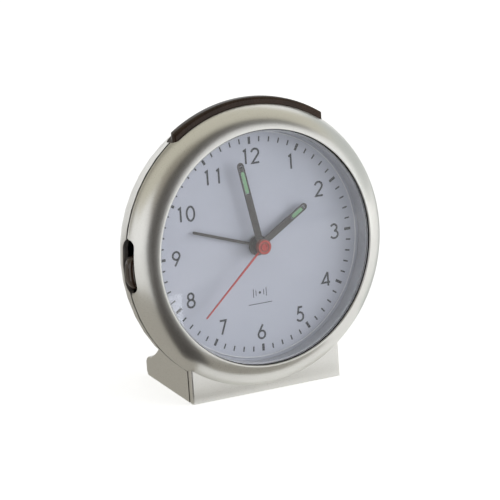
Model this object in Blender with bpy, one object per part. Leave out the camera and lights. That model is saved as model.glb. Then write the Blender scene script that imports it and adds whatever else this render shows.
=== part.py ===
# Radio-controlled alarm clock: a round silver case that leans back on a small foot.
# World frame: origin at the middle of the foot's flat underside, X to the right of
# someone facing the clock, Y away from them, Z up. Everything is in metres.
# Dial frame: origin at the middle of the dial's face, X to the right, Y up the dial,
# Z straight out towards the viewer. Almost every piece is modelled in the dial frame.
import math

import bmesh
import bpy

MM = 0.001
DEG = math.pi / 180.0
QUARTER = 90.0 * DEG

# How finely round things are cut up
CASE_STEPS = 48
ROUND_STEPS = 16
SMALL_STEPS = 10
SHELL_ARC_STEPS = 7
INNER_ARC_STEPS = 5
EDGE_ARC_STEPS = 4
CORNER_STEPS = 3
SHARP_FROM = 35.0 * DEG

# Turns that lay a piece along another axis of the dial frame
ALONG_X = (90.0 * DEG, 0.0, 90.0 * DEG)
ALONG_Y = (-90.0 * DEG, 0.0, 0.0)
FACING_BACK = (180.0 * DEG, 0.0, 0.0)

# Fits
CLEARANCE = 0.3 * MM
SLIDE_GAP = 0.4 * MM
LEVEL_GAP = 0.4 * MM

# Stance
FACE_TILT = 8.0 * DEG
FOOT_LIFT = 1.1 * MM

# Case
CASE_WALL = 1.8 * MM
SEAM_DEPTH = 1.2 * MM
OPENING_RADIUS = 41.1 * MM
RING_WIDTH = 8.9 * MM
RING_HEIGHT = 8.3 * MM
RING_BOW = 1.75 * MM
LIP_RADIUS = 0.9 * MM
BORE_WALL = 1.5 * MM
DRUM_DEPTH = 18.2 * MM
BACK_RADIUS = 30.9 * MM

# Foot
FOOT_WIDTH = 59.1 * MM
FOOT_DEPTH = 34.2 * MM
FOOT_FRONT = 1.36 * MM
FOOT_CORNER = 1.2 * MM
FOOT_EDGE = 0.6 * MM
HEEL_FLARE = 0.9 * MM
HEEL_RISE = 1.2 * MM
HEEL_WALL = 3.5 * MM
HEEL_LEDGE = 3.7 * MM
HEEL_ROUND = 2.6 * MM
HEEL_BOW = 0.87 * MM
RAMP_RUN = 12.95 * MM
RAMP_RISE = 12.2 * MM
RAMP_BOW = 0.8 * MM

# Lens
LENS_GAP = 0.35 * MM
LENS_FRONT = 1.55 * MM
LENS_SKIRT = 1.85 * MM
LENS_SINK = 0.25 * MM
LENS_FLANGE = 1.55 * MM
LENS_FLANGE_THICK = 1.1 * MM

# Dial
DIAL_LAP = 1.4 * MM
DIAL_THICK = 1.2 * MM
EAR_GAP = 1.0 * MM
EAR_ANGLES = (20.0 * DEG, 160.0 * DEG, 245.0 * DEG, 295.0 * DEG)

# Hands, each angle clockwise from twelve
HAND_SHEET = 0.4 * MM
ALARM_HAND_HEIGHT = 0.9 * MM
ALARM_HAND_LENGTH = 25.9 * MM
ALARM_HAND_WIDTH = 1.0 * MM
ALARM_HUB = 3.4 * MM
ALARM_ANGLE = 288.4 * DEG
HOUR_HAND_HEIGHT = 2.0 * MM
HOUR_HAND_LENGTH = 22.5 * MM
HOUR_HAND_WIDTH = 2.4 * MM
HOUR_HUB = 2.6 * MM
HOUR_ANGLE = 59.0 * DEG
HOUR_INLAY_START = 15.4 * MM
MINUTE_HAND_HEIGHT = 3.0 * MM
MINUTE_HAND_LENGTH = 30.5 * MM
MINUTE_HAND_WIDTH = 2.5 * MM
MINUTE_HUB = 2.5 * MM
MINUTE_ANGLE = 348.5 * DEG
MINUTE_INLAY_START = 19.4 * MM
INLAY_WIDTH = 1.0 * MM
INLAY_END = 1.4 * MM
SECOND_HAND_HEIGHT = 4.5 * MM
SECOND_HAND_LENGTH = 31.5 * MM
SECOND_HAND_ROOT = 0.9 * MM
SECOND_HAND_TIP = 0.6 * MM
SECOND_CAP_RADIUS = 2.64 * MM
SECOND_CAP_THICK = 1.4 * MM
SECOND_ANGLE = 228.0 * DEG

# Nested shafts behind the dial
SECOND_ARBOR = 0.35 * MM
PIPE_GAP = 0.25 * MM
PIPE_WALL = 0.45 * MM

# Wheels
WHEEL_THICK = 1.0 * MM
MODULE = 0.5 * MM
FINE_MODULE = 0.35 * MM
MESH_PLAY = 0.1 * MM
ALARM_TEETH = 32
ALARM_PINION_TEETH = 12
HOUR_TEETH = 32
MOTION_PINION_TEETH = 8
MOTION_TEETH = 30
MINUTE_PINION_TEETH = 10
DRIVE_TEETH = 30
STAGE_PINION_TEETH = 6
STAGE_TEETH = 36
ROTOR_TEETH = 6
TRAIN_ARBOR = 0.4 * MM
MAGNET_RADIUS = 2.6 * MM
MAGNET_THICK = 1.6 * MM
ALARM_SHAFT_RADIUS = 1.0 * MM
ALARM_SHAFT_ANGLE = -45.0 * DEG

# Movement housing
BASE_THICK = 1.2 * MM
MOVEMENT_WALL = 1.2 * MM
STATOR_THICK = 0.8 * MM
STATOR_ARM = 2.2 * MM
STATOR_RIM = 0.9 * MM
COIL_RADIUS = 2.4 * MM
COIL_LENGTH = 5.6 * MM
COIL_HEIGHT_ON_DIAL = 13.0 * MM
MOVEMENT_EAR_LAP = 2.0 * MM
MOVEMENT_EAR_Y = (15.0 * MM, -9.0 * MM)
MOVEMENT_EAR_RADIUS = 2.4 * MM

# Battery, a standard AA cell
CELL_RADIUS = 7.25 * MM
CELL_LENGTH = 50.5 * MM
CELL_NUB_RADIUS = 2.75 * MM
CELL_NUB_LENGTH = 1.0 * MM
WELL_WALL = 1.2 * MM
WELL_PLAY = 0.5 * MM
SPRING_LENGTH = 3.0 * MM
SPRING_BIG = 4.0 * MM
SPRING_SMALL = 2.2 * MM
SPRING_WIRE = 0.7 * MM
PLATE_THICK = 0.6 * MM
PLATE_SIZE = 8.0 * MM
DOOR_THICK = 1.5 * MM

# Snooze bar
SNOOZE_HALF_LENGTH = 29.6 * MM
SNOOZE_PROUD = 1.75 * MM
SNOOZE_FRONT = 1.1 * MM
SNOOZE_BACK = 5.3 * MM
SNOOZE_END_ROUND = 2.6 * MM
SNOOZE_EDGE_ROUND = 1.4 * MM
SNOOZE_FLANGE = 1.2 * MM
SNOOZE_FLANGE_DROP = 1.9 * MM
SNOOZE_TRAVEL = 1.0 * MM
SNOOZE_POST = 3.0 * MM
SNOOZE_POST_LENGTH = 2.8 * MM
SNOOZE_SWITCH_DEPTH = 4.1 * MM

# Alarm slider on the left flank
SLOT_HALF_LENGTH = 9.45 * MM
SLOT_HALF_WIDTH = 3.75 * MM
SLIDER_PLATE_THICK = 1.2 * MM
SLIDER_LAP = 0.5 * MM
SLIDER_REST = -1.2 * MM
SLIDER_TRAVEL = 2.6 * MM
THUMB_HALF_LENGTH = 4.3 * MM
THUMB_HALF_WIDTH = 3.4 * MM
THUMB_PROUD = 0.1 * MM
LEVER_SIZE = 1.6 * MM
LEVER_DEPTH = 6.0 * MM

# Circuit board and what it carries
BOARD_FRONT = 8.0 * MM
BOARD_THICK = 1.2 * MM
BOARD_EDGE = 3.06 * MM
BOARD_TOP = 19.0 * MM
BOARD_BOTTOM = -12.0 * MM
TACT_SIZE = 6.0 * MM
TACT_HEIGHT = 3.5 * MM
TACT_KNOB_RADIUS = 1.7 * MM
TACT_KNOB_HEIGHT = 1.0 * MM
CHIP_SIZE = 7.0 * MM
CHIP_EDGE = 1.0 * MM
CHIP_THICK = 1.8 * MM
CRYSTAL_RADIUS = 1.5 * MM
CRYSTAL_LENGTH = 8.0 * MM
CRYSTAL_Y = -3.0 * MM
SWITCH_HEIGHT = 3.6 * MM
SWITCH_DEEP = 4.4 * MM
BOARD_SCREW_EDGE = 4.0 * MM
BOARD_SCREW_Y = (14.0 * MM, -9.5 * MM)
POST_RADIUS = 2.1 * MM

# Rear controls
BUTTON_RADIUS = 2.5 * MM
BUTTON_FLANGE = 0.9 * MM
BUTTON_FLANGE_THICK = 0.8 * MM
BUTTON_PROUD = 0.6 * MM
BUTTON_POST_RADIUS = 1.5 * MM
BUTTON_TRAVEL = 0.6 * MM
BUTTON_Y = (9.0 * MM, -4.0 * MM)
KNOB_RADIUS = 5.2 * MM
KNOB_THICK = 2.8 * MM
KNOB_FLUTES = 20
KNOB_FLUTE_DEPTH = 0.35 * MM

# Aerial
AERIAL_GAP = 1.9 * MM
AERIAL_EDGE = 8.4 * MM
AERIAL_WINDING = 1.5 * MM
AERIAL_COIL_LENGTH = 22.0 * MM
ROD_DEPTH = 9.5 * MM
CRADLE_THICK = 2.0 * MM
CRADLE_GAP = 5.0 * MM

# Buzzer
BUZZER_Y = 4.0 * MM
BUZZER_EDGE = 9.15 * MM
BUZZER_THICK = 4.0 * MM
BUZZER_FRONT = 8.0 * MM
GRILLE_SLOTS = 5
GRILLE_PITCH = 2.4 * MM
GRILLE_SLOT = 1.0 * MM
GRILLE_LENGTH = 9.0 * MM

# Screws
SCREW_SHANK = 1.0 * MM
SCREW_HEAD = 2.2 * MM
SCREW_HEAD_THICK = 1.6 * MM
SCREW_ANGLES = (40.0 * DEG, 140.0 * DEG, 220.0 * DEG, 320.0 * DEG)
SCREW_SEAT_DEPTH = 6.0 * MM
SCREW_REACH = 3.0 * MM
SMALL_SHANK = 0.8 * MM
SMALL_HEAD = 1.7 * MM
SMALL_HEAD_THICK = 1.0 * MM
SCREW_SLOT_LENGTH = 0.7
SCREW_SLOT_WIDTH = 0.14
SCREW_SLOT_DEPTH = 0.4
BOARD_SCREW_BITE = 3.2 * MM
BOSS_WALL = 1.1 * MM
EAR_BOSS_WALL = 0.8 * MM

# Places that follow from the sizes above, all in the dial frame
SHELL_REACH = 10.0 * MM
SEAM_Z = -SEAM_DEPTH
REAR_Z = SEAM_Z - CLEARANCE
BACK_Z = SEAM_Z - DRUM_DEPTH
BACK_INNER_Z = BACK_Z + CASE_WALL
CASE_RADIUS = OPENING_RADIUS + RING_WIDTH
CHANNEL_RADIUS = OPENING_RADIUS + BORE_WALL
DIAL_HEIGHT = CASE_RADIUS + FOOT_LIFT
DIAL_Y = (
    -FOOT_DEPTH / 2
    + (DIAL_HEIGHT + FOOT_FRONT * math.sin(FACE_TILT)) * math.tan(FACE_TILT)
    + FOOT_FRONT * math.cos(FACE_TILT)
)
DIAL_RADIUS = CHANNEL_RADIUS + DIAL_LAP
DIAL_BACK_Z = -DIAL_THICK
BLIND_Z = DIAL_BACK_Z / 3
FLANGE_TOP_Z = CLEARANCE + LENS_FLANGE_THICK
SCREW_BOSS = SCREW_SHANK + CLEARANCE + BOSS_WALL
SCREW_CIRCLE = CHANNEL_RADIUS + SCREW_BOSS + CLEARANCE
EAR_BOSS = SMALL_SHANK + CLEARANCE + EAR_BOSS_WALL
EAR_RADIUS = (CASE_RADIUS - CASE_WALL - EAR_GAP - CHANNEL_RADIUS) / 2
EAR_CIRCLE = CHANNEL_RADIUS + EAR_RADIUS

# Heights of the wheels, each level one step behind the last
BASE_FRONT_Z = DIAL_BACK_Z - CLEARANCE
BASE_BACK_Z = BASE_FRONT_Z - BASE_THICK
LEVEL_STEP = WHEEL_THICK + LEVEL_GAP
ALARM_LEVEL = BASE_BACK_Z - LEVEL_STEP
HOUR_LEVEL = ALARM_LEVEL - LEVEL_STEP
MOTION_LEVEL = HOUR_LEVEL - LEVEL_STEP
DRIVE_LEVEL = MOTION_LEVEL - LEVEL_STEP
SECOND_LEVEL = DRIVE_LEVEL - LEVEL_STEP
STAGE_LEVEL = SECOND_LEVEL - LEVEL_STEP
MAGNET_LEVEL = STAGE_LEVEL - LEVEL_GAP - MAGNET_THICK
STATOR_MIDDLE = MAGNET_LEVEL + MAGNET_THICK / 2
COVER_INNER_Z = STATOR_MIDDLE - COIL_RADIUS - LEVEL_GAP
COVER_OUTER_Z = COVER_INNER_Z - MOVEMENT_WALL
PIVOT_FRONT_Z = BASE_BACK_Z + BASE_THICK / 2
PIVOT_BACK_Z = COVER_INNER_Z - MOVEMENT_WALL / 2

# Nested pipes, from the inside out
MINUTE_PIPE_BORE = SECOND_ARBOR + PIPE_GAP
MINUTE_PIPE = MINUTE_PIPE_BORE + PIPE_WALL
HOUR_PIPE_BORE = MINUTE_PIPE + PIPE_GAP
HOUR_PIPE = HOUR_PIPE_BORE + PIPE_WALL
ALARM_PIPE_BORE = HOUR_PIPE + PIPE_GAP
ALARM_PIPE = ALARM_PIPE_BORE + PIPE_WALL

# Distances between wheel centres
TOOTH_TIP = 0.75
TOOTH_ROOT = 1.1
MOTION_CENTRE = (MINUTE_PINION_TEETH + MOTION_TEETH) * MODULE / 2 + MESH_PLAY
STAGE_CENTRE = (STAGE_PINION_TEETH + DRIVE_TEETH) * MODULE / 2 + MESH_PLAY
TRAIN_HUB = STAGE_CENTRE - (DRIVE_TEETH / 2 + TOOTH_TIP) * MODULE - CLEARANCE
ROTOR_CENTRE = STAGE_CENTRE + (ROTOR_TEETH + STAGE_TEETH) * FINE_MODULE / 2 + MESH_PLAY
ALARM_CENTRE = (ALARM_PINION_TEETH + ALARM_TEETH) * MODULE / 2 + MESH_PLAY
ALARM_SHAFT_X = ALARM_CENTRE * math.cos(ALARM_SHAFT_ANGLE)
ALARM_SHAFT_Y = ALARM_CENTRE * math.sin(ALARM_SHAFT_ANGLE)

# The movement's housing closes round its wheels, and its neighbours close round it
MOVEMENT_MARGIN = SLIDE_GAP + MOVEMENT_WALL
STATOR_EYE = MAGNET_RADIUS + SLIDE_GAP
MOVEMENT_HALF_WIDTH = ROTOR_CENTRE + STATOR_EYE + STATOR_RIM + MOVEMENT_MARGIN
MOVEMENT_TOP = MOTION_CENTRE + (MOTION_TEETH / 2 + TOOTH_TIP) * MODULE + MOVEMENT_MARGIN
MOVEMENT_BOTTOM = -ALARM_SHAFT_Y + (ALARM_PINION_TEETH / 2 + TOOTH_TIP) * MODULE + MOVEMENT_MARGIN
MOVEMENT_EAR_X = MOVEMENT_HALF_WIDTH + MOVEMENT_EAR_LAP
WELL_HALF_HEIGHT = CELL_RADIUS + WELL_PLAY
CELL_HEIGHT_ON_DIAL = -(MOVEMENT_BOTTOM + SLIDE_GAP + WELL_WALL + WELL_HALF_HEIGHT)
WELL_FRONT_Z = REAR_Z - WELL_WALL
CELL_Z = WELL_FRONT_Z - CLEARANCE - CELL_RADIUS
WELL_LEFT = -CELL_LENGTH / 2 - SPRING_LENGTH - CLEARANCE
WELL_RIGHT = CELL_LENGTH / 2 + PLATE_THICK + 2 * CLEARANCE
BOARD_RIGHT = -MOVEMENT_HALF_WIDTH - SLIDE_GAP
BOARD_LEFT = -math.sqrt((CASE_RADIUS - CASE_WALL - BOARD_EDGE) ** 2 - BOARD_TOP**2)
BOARD_SCREW_X = BOARD_LEFT + BOARD_SCREW_EDGE
BOARD_FRONT_Z = -BOARD_FRONT
BOARD_BACK_Z = BOARD_FRONT_Z - BOARD_THICK
BUTTON_X = BOARD_RIGHT - TACT_SIZE / 2 - SLIDE_GAP
BUZZER_LEFT = MOVEMENT_HALF_WIDTH + SLIDE_GAP + BOSS_WALL + CLEARANCE
BUZZER_RADIUS = (CASE_RADIUS - BUZZER_EDGE - BUZZER_LEFT) / 2
BUZZER_X = BUZZER_LEFT + BUZZER_RADIUS

# The snooze bar and its switch
SNOOZE_RADIUS = CASE_RADIUS + SNOOZE_PROUD
SNOOZE_FLANGE_RADIUS = CASE_RADIUS - CASE_WALL - SNOOZE_FLANGE_DROP
SNOOZE_FLANGE_ROOT = SNOOZE_FLANGE_RADIUS - SNOOZE_FLANGE
SNOOZE_SWITCH_TOP = SNOOZE_FLANGE_ROOT - SNOOZE_POST_LENGTH - SNOOZE_TRAVEL - CLEARANCE
SNOOZE_SWITCH_FOOT = SNOOZE_SWITCH_TOP - TACT_KNOB_HEIGHT - TACT_HEIGHT
SLIDER_PLATE_FACE = CHANNEL_RADIUS + SLIDE_GAP + SLIDER_PLATE_THICK

# The aerial lies between the movement and the shelf of the snooze switch
SHELF_TOP = SNOOZE_SWITCH_FOOT - CLEARANCE
AERIAL_COIL_RADIUS = (SHELF_TOP - CASE_WALL - MOVEMENT_TOP) / 2 - AERIAL_GAP
ROD_HEIGHT_ON_DIAL = MOVEMENT_TOP + AERIAL_GAP + AERIAL_COIL_RADIUS
ROD_RADIUS = AERIAL_COIL_RADIUS - AERIAL_WINDING
ROD_REACH = CASE_RADIUS - CASE_WALL - AERIAL_EDGE
ROD_LENGTH = 2 * math.sqrt(ROD_REACH**2 - (ROD_HEIGHT_ON_DIAL + ROD_RADIUS) ** 2)
CRADLE_X = AERIAL_COIL_LENGTH / 2 + CRADLE_GAP + CRADLE_THICK / 2


# Outlines

def circle(radius, steps, centre=(0.0, 0.0)):
    points = []
    for step in range(steps):
        angle = 2 * math.pi * step / steps
        points.append((centre[0] + radius * math.cos(angle), centre[1] + radius * math.sin(angle)))
    return points


def rectangle(left, right, bottom, top):
    return [(left, bottom), (right, bottom), (right, top), (left, top)]


def sweep(centre, across, up, start, end, steps):
    # Points on a round or oval arc about a centre, both ends included
    points = []
    for step in range(steps + 1):
        angle = start + (end - start) * step / steps
        points.append((centre[0] + across * math.cos(angle), centre[1] + up * math.sin(angle)))
    return points


def rounded_rectangle(left, right, bottom, top, radius, steps):
    corners = [
        (right - radius, top - radius),
        (left + radius, top - radius),
        (left + radius, bottom + radius),
        (right - radius, bottom + radius),
    ]
    points = []
    for number, centre in enumerate(corners):
        start = QUARTER * number
        points += sweep(centre, radius, radius, start, start + QUARTER, steps)
    return points


def arc_between(start, end, bow, steps):
    # Points from start to end on an arc that bows out to the right of the way by bow
    run = end[0] - start[0]
    rise = end[1] - start[1]
    chord = math.hypot(run, rise)
    radius = (chord * chord / 4 + bow * bow) / (2 * bow)
    half = math.asin(chord / 2 / radius)
    middle = ((start[0] + end[0]) / 2, (start[1] + end[1]) / 2)
    right = (rise / chord, -run / chord)
    centre = (middle[0] + right[0] * (bow - radius), middle[1] + right[1] * (bow - radius))
    heading = math.atan2(right[1], right[0])
    points = sweep(centre, radius, radius, heading - half, heading + half, steps)
    return points, centre, radius


def gear_outline(teeth, module, phase):
    # Four points to a tooth, with backlash, the first tooth centred on the phase angle
    pitch = 2 * math.pi / teeth
    radius = teeth * module / 2
    tip = radius + TOOTH_TIP * module
    root = radius - TOOTH_ROOT * module
    points = []
    for tooth in range(teeth):
        centre = phase + tooth * pitch
        for share, reach in ((-0.25, root), (-0.08, tip), (0.08, tip), (0.25, root)):
            angle = centre + share * pitch
            points.append((reach * math.cos(angle), reach * math.sin(angle)))
    return points


# Meshes

def finish_mesh(name, bm):
    bmesh.ops.recalc_face_normals(bm, faces=bm.faces)
    mesh = bpy.data.meshes.new(name)
    bm.to_mesh(mesh)
    bm.free()
    mesh.shade_smooth()
    mesh.set_sharp_from_angle(angle=SHARP_FROM)
    return mesh


def prism(name, outline, low, high):
    # An outline in X and Y, drawn out along Z from low to high
    bm = bmesh.new()
    corners = [bm.verts.new((x, y, low)) for x, y in outline]
    face = bm.faces.new(corners)
    grown = bmesh.ops.extrude_face_region(bm, geom=[face])
    far = [item for item in grown["geom"] if isinstance(item, bmesh.types.BMVert)]
    bmesh.ops.translate(bm, verts=far, vec=(0.0, 0.0, high - low))
    return finish_mesh(name, bm)


def turned(name, profile, steps):
    # A closed profile of (radius, height) points, spun round Z
    bm = bmesh.new()
    points = [bm.verts.new((radius, 0.0, height)) for radius, height in profile]
    edges = []
    for first, second in zip(points, points[1:] + points[:1]):
        if first.co.x > 0.0 or second.co.x > 0.0:
            edges.append(bm.edges.new((first, second)))
    bmesh.ops.spin(
        bm,
        geom=points + edges,
        cent=(0.0, 0.0, 0.0),
        axis=(0.0, 0.0, 1.0),
        angle=2 * math.pi,
        steps=steps,
        use_merge=True,
    )
    bmesh.ops.remove_doubles(bm, verts=bm.verts, dist=1e-7)
    return finish_mesh(name, bm)


def box(name, low, high):
    outline = rectangle(low[0], high[0], low[1], high[1])
    return prism(name, outline, low[2], high[2])


def rod(name, radius, low, high, steps=ROUND_STEPS):
    return prism(name, circle(radius, steps), low, high)


# Objects

def make_material(name, colour, roughness, metallic=0.0, transmission=0.0):
    material = bpy.data.materials.new(name)
    material.use_nodes = True
    shader = material.node_tree.nodes["Principled BSDF"]
    shader.inputs["Base Color"].default_value = (*colour, 1.0)
    shader.inputs["Roughness"].default_value = roughness
    shader.inputs["Metallic"].default_value = metallic
    shader.inputs["Transmission Weight"].default_value = transmission
    material.diffuse_color = (*colour, 1.0)
    return material


def place_object(name, mesh, place, turn, parent):
    item = bpy.data.objects.new(name, mesh)
    bpy.context.collection.objects.link(item)
    item.parent = parent
    item.location = place
    item.rotation_euler = turn
    return item


def add_part(name, mesh, material, place=(0.0, 0.0, 0.0), turn=(0.0, 0.0, 0.0)):
    mesh.materials.append(material)
    return place_object(name, mesh, place, turn, DIAL_FRAME)


def add_tool(mesh, place=(0.0, 0.0, 0.0), turn=(0.0, 0.0, 0.0), in_dial_frame=True):
    tool = place_object(mesh.name, mesh, place, turn, DIAL_FRAME if in_dial_frame else None)
    tool.hide_render = True
    tool.display_type = "WIRE"
    return tool


def combine(target, tool, operation):
    modifier = target.modifiers.new(operation.title() + "_" + tool.name, "BOOLEAN")
    modifier.operation = operation
    modifier.object = tool
    modifier.solver = "EXACT"


def cut(target, tool):
    combine(target, tool, "DIFFERENCE")


def join(target, tool):
    combine(target, tool, "UNION")


def keep(target, tool):
    combine(target, tool, "INTERSECT")


def ring_places(circle_radius, angles):
    return [(circle_radius * math.cos(angle), circle_radius * math.sin(angle)) for angle in angles]


# Case shells

def round_edges(bm, edges, radius, steps):
    bmesh.ops.bevel(bm, geom=edges, offset=radius, segments=steps, affect="EDGES", profile=0.5)


def floor_line(height):
    # The Y of the dial frame at which a plane this far in front of the dial meets the floor
    return -(DIAL_HEIGHT + height * math.sin(FACE_TILT)) / math.cos(FACE_TILT)


def plane_y(height, z):
    # World Y, at world height z, of the plane this far in front of the dial
    up_face = z - DIAL_HEIGHT - height * math.sin(FACE_TILT)
    return DIAL_Y + up_face * math.tan(FACE_TILT) - height * math.cos(FACE_TILT)


def ring_inside(inset):
    # A line this far inside the ring's rounded outside, from the bore's wall to the seam
    crest = (OPENING_RADIUS + LIP_RADIUS, RING_HEIGHT)
    _, centre, outside = arc_between((CASE_RADIUS, SEAM_Z), crest, RING_BOW, SHELL_ARC_STEPS)
    radius = outside - inset
    top_angle = math.acos((CHANNEL_RADIUS - centre[0]) / radius)
    low_angle = math.asin((SEAM_Z - centre[1]) / radius)
    return sweep(centre, radius, radius, top_angle, low_angle, EDGE_ARC_STEPS)


def ring_profile():
    crest = (OPENING_RADIUS + LIP_RADIUS, RING_HEIGHT)
    outside, _, _ = arc_between((CASE_RADIUS, SEAM_Z), crest, RING_BOW, SHELL_ARC_STEPS)
    lip_centre = (crest[0], RING_HEIGHT - LIP_RADIUS)
    lip = sweep(lip_centre, LIP_RADIUS, LIP_RADIUS, QUARTER, 2 * QUARTER, CORNER_STEPS)
    bore_end = FLANGE_TOP_Z + CLEARANCE
    bore = [(OPENING_RADIUS, bore_end), (CHANNEL_RADIUS, bore_end)]
    return outside + lip[1:] + bore + ring_inside(CASE_WALL)


def ring_core_profile():
    # Up to the middle of the ring's wall, to trim what stands inside the ring
    inner = CHANNEL_RADIUS - BORE_WALL / 2
    line = ring_inside(CASE_WALL / 2)
    return line + [(inner, SEAM_Z), (inner, line[0][1])]


def front_foot_mesh():
    # A slab that reaches from the floor into the ring's wall
    half = FOOT_WIDTH / 2
    seat_radius = CASE_RADIUS - CASE_WALL / 2 - RING_BOW / 2
    seat_angle = math.asin(half / seat_radius)
    outline = [(-half, floor_line(0.0)), (half, floor_line(0.0))]
    down = -QUARTER
    origin = (0.0, 0.0)
    right = down + seat_angle
    left = down - seat_angle
    outline += sweep(origin, seat_radius, seat_radius, right, left, 2 * EDGE_ARC_STEPS)
    mesh = prism("front_foot", outline, SEAM_Z, FOOT_FRONT)
    bm = bmesh.new()
    bm.from_mesh(mesh)
    for vert in bm.verts:
        if abs(vert.co.y - floor_line(0.0)) < CLEARANCE:
            vert.co.y = floor_line(vert.co.z)
    corners = []
    for edge in bm.edges:
        first, second = edge.verts
        at_side = abs(abs(first.co.x) - half) < 1e-6 and abs(abs(second.co.x) - half) < 1e-6
        at_front = first.co.z > 0.0 and second.co.z > 0.0
        if at_side and at_front and first.co.x * second.co.x > 0.0:
            corners.append(edge)
    round_edges(bm, corners, FOOT_CORNER, CORNER_STEPS)
    bm.to_mesh(mesh)
    bm.free()
    return mesh


def rear_foot_outline(inset):
    # The foot behind the seam, seen from the side, in world Y and Z
    heel = FOOT_DEPTH / 2
    wall_foot = (heel + HEEL_FLARE, HEEL_RISE)
    wall_top = (wall_foot[0] + HEEL_WALL * math.tan(FACE_TILT), HEEL_RISE + HEEL_WALL)
    ledge = (wall_top[0] - HEEL_LEDGE, wall_top[1] + HEEL_ROUND)
    ramp_top = (ledge[0] - RAMP_RUN, ledge[1] + RAMP_RISE)
    rounding, _, _ = arc_between(wall_top, ledge, HEEL_BOW, EDGE_ARC_STEPS)
    ramp, _, _ = arc_between(ramp_top, ledge, RAMP_BOW, INNER_ARC_STEPS)
    seam_foot = (plane_y(REAR_Z, 0.0), 0.0)
    seam_top = (plane_y(REAR_Z, ramp_top[1]), ramp_top[1])
    outline = [seam_foot, (heel, 0.0), wall_foot] + rounding + ramp[-2::-1] + [seam_top]
    if inset == 0.0:
        return outline
    return [
        (seam_foot[0] - SHELL_REACH, inset),
        (heel - inset, inset),
        (wall_top[0] - inset, wall_top[1] - inset),
        (ledge[0] - inset, ledge[1] - inset),
        (ramp_top[0] - inset, ramp_top[1] - inset),
        (seam_foot[0] - SHELL_REACH, ramp_top[1] - inset),
    ]


def rear_foot_mesh():
    mesh = prism("rear_foot", rear_foot_outline(0.0), -FOOT_WIDTH / 2, FOOT_WIDTH / 2)
    bm = bmesh.new()
    bm.from_mesh(mesh)
    rims = []
    clear_of_seam = FOOT_DEPTH / 4
    for edge in bm.edges:
        first, second = edge.verts
        flat = abs(first.co.z - second.co.z) < 1e-7
        if flat and min(first.co.x, second.co.x) > clear_of_seam:
            rims.append(edge)
    round_edges(bm, rims, FOOT_EDGE, CORNER_STEPS - 1)
    bm.to_mesh(mesh)
    bm.free()
    return mesh


def drum_profile(inset, front):
    # Half section of the drum behind the seam, or of its hollow when inset is a wall
    across = CASE_RADIUS - BACK_RADIUS - inset
    deep = DRUM_DEPTH - CLEARANCE - inset
    steps = INNER_ARC_STEPS if inset > 0.0 else SHELL_ARC_STEPS
    shoulder = sweep((BACK_RADIUS, REAR_Z), across, -deep, 0.0, QUARTER, steps)
    if front > REAR_Z:
        shoulder.insert(0, (BACK_RADIUS + across, front))
    return [(0.0, front)] + shoulder + [(0.0, REAR_Z - deep)]


def snooze_plan(grow):
    return rounded_rectangle(
        -SNOOZE_HALF_LENGTH - grow,
        SNOOZE_HALF_LENGTH + grow,
        -SNOOZE_FRONT - grow,
        SNOOZE_BACK + grow,
        SNOOZE_END_ROUND + grow,
        CORNER_STEPS,
    )


def snooze_slot_tool():
    plan = prism("snooze_slot", snooze_plan(CLEARANCE), 0.0, CASE_RADIUS + SHELL_REACH)
    slot = add_tool(plan, turn=ALONG_Y)
    low = CHANNEL_RADIUS + CLEARANCE
    high = CASE_RADIUS + SHELL_REACH
    band = [(low, -SHELL_REACH), (high, -SHELL_REACH), (high, SHELL_REACH), (low, SHELL_REACH)]
    keep(slot, add_tool(turned("snooze_slot_band", band, CASE_STEPS)))
    return slot


def flank_slot_tool():
    outline = rounded_rectangle(
        -SLOT_HALF_LENGTH,
        SLOT_HALF_LENGTH,
        -SLOT_HALF_WIDTH,
        SLOT_HALF_WIDTH,
        SLOT_HALF_WIDTH - CLEARANCE,
        INNER_ARC_STEPS,
    )
    slot = prism("flank_slot", outline, -CASE_RADIUS - SHELL_REACH, -SLIDER_PLATE_FACE)
    return add_tool(slot, turn=ALONG_X)


def make_front_case(material):
    case = add_part("front_case", turned("front_case", ring_profile(), CASE_STEPS), material)
    join(case, add_tool(front_foot_mesh()))
    core = add_tool(turned("ring_core", ring_core_profile(), CASE_STEPS))
    for x, y in ring_places(SCREW_CIRCLE, SCREW_ANGLES):
        boss = add_tool(rod("front_boss", SCREW_BOSS, SEAM_Z + CLEARANCE, RING_HEIGHT), (x, y, 0.0))
        keep(boss, core)
        join(case, boss)
        hole = rod("front_hole", SCREW_SHANK + CLEARANCE, SEAM_Z - CASE_WALL, SCREW_REACH + CLEARANCE)
        cut(case, add_tool(hole, (x, y, 0.0)))
    for x, y in ring_places(EAR_CIRCLE, EAR_ANGLES):
        boss = add_tool(rod("ear_boss", EAR_BOSS, CLEARANCE, RING_HEIGHT), (x, y, 0.0))
        keep(boss, core)
        join(case, boss)
        hole = rod("ear_hole", SMALL_SHANK + CLEARANCE, -CASE_WALL, SCREW_REACH, SMALL_STEPS)
        cut(case, add_tool(hole, (x, y, 0.0)))
    cut(case, snooze_slot_tool())
    cut(case, flank_slot_tool())
    return case


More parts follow.
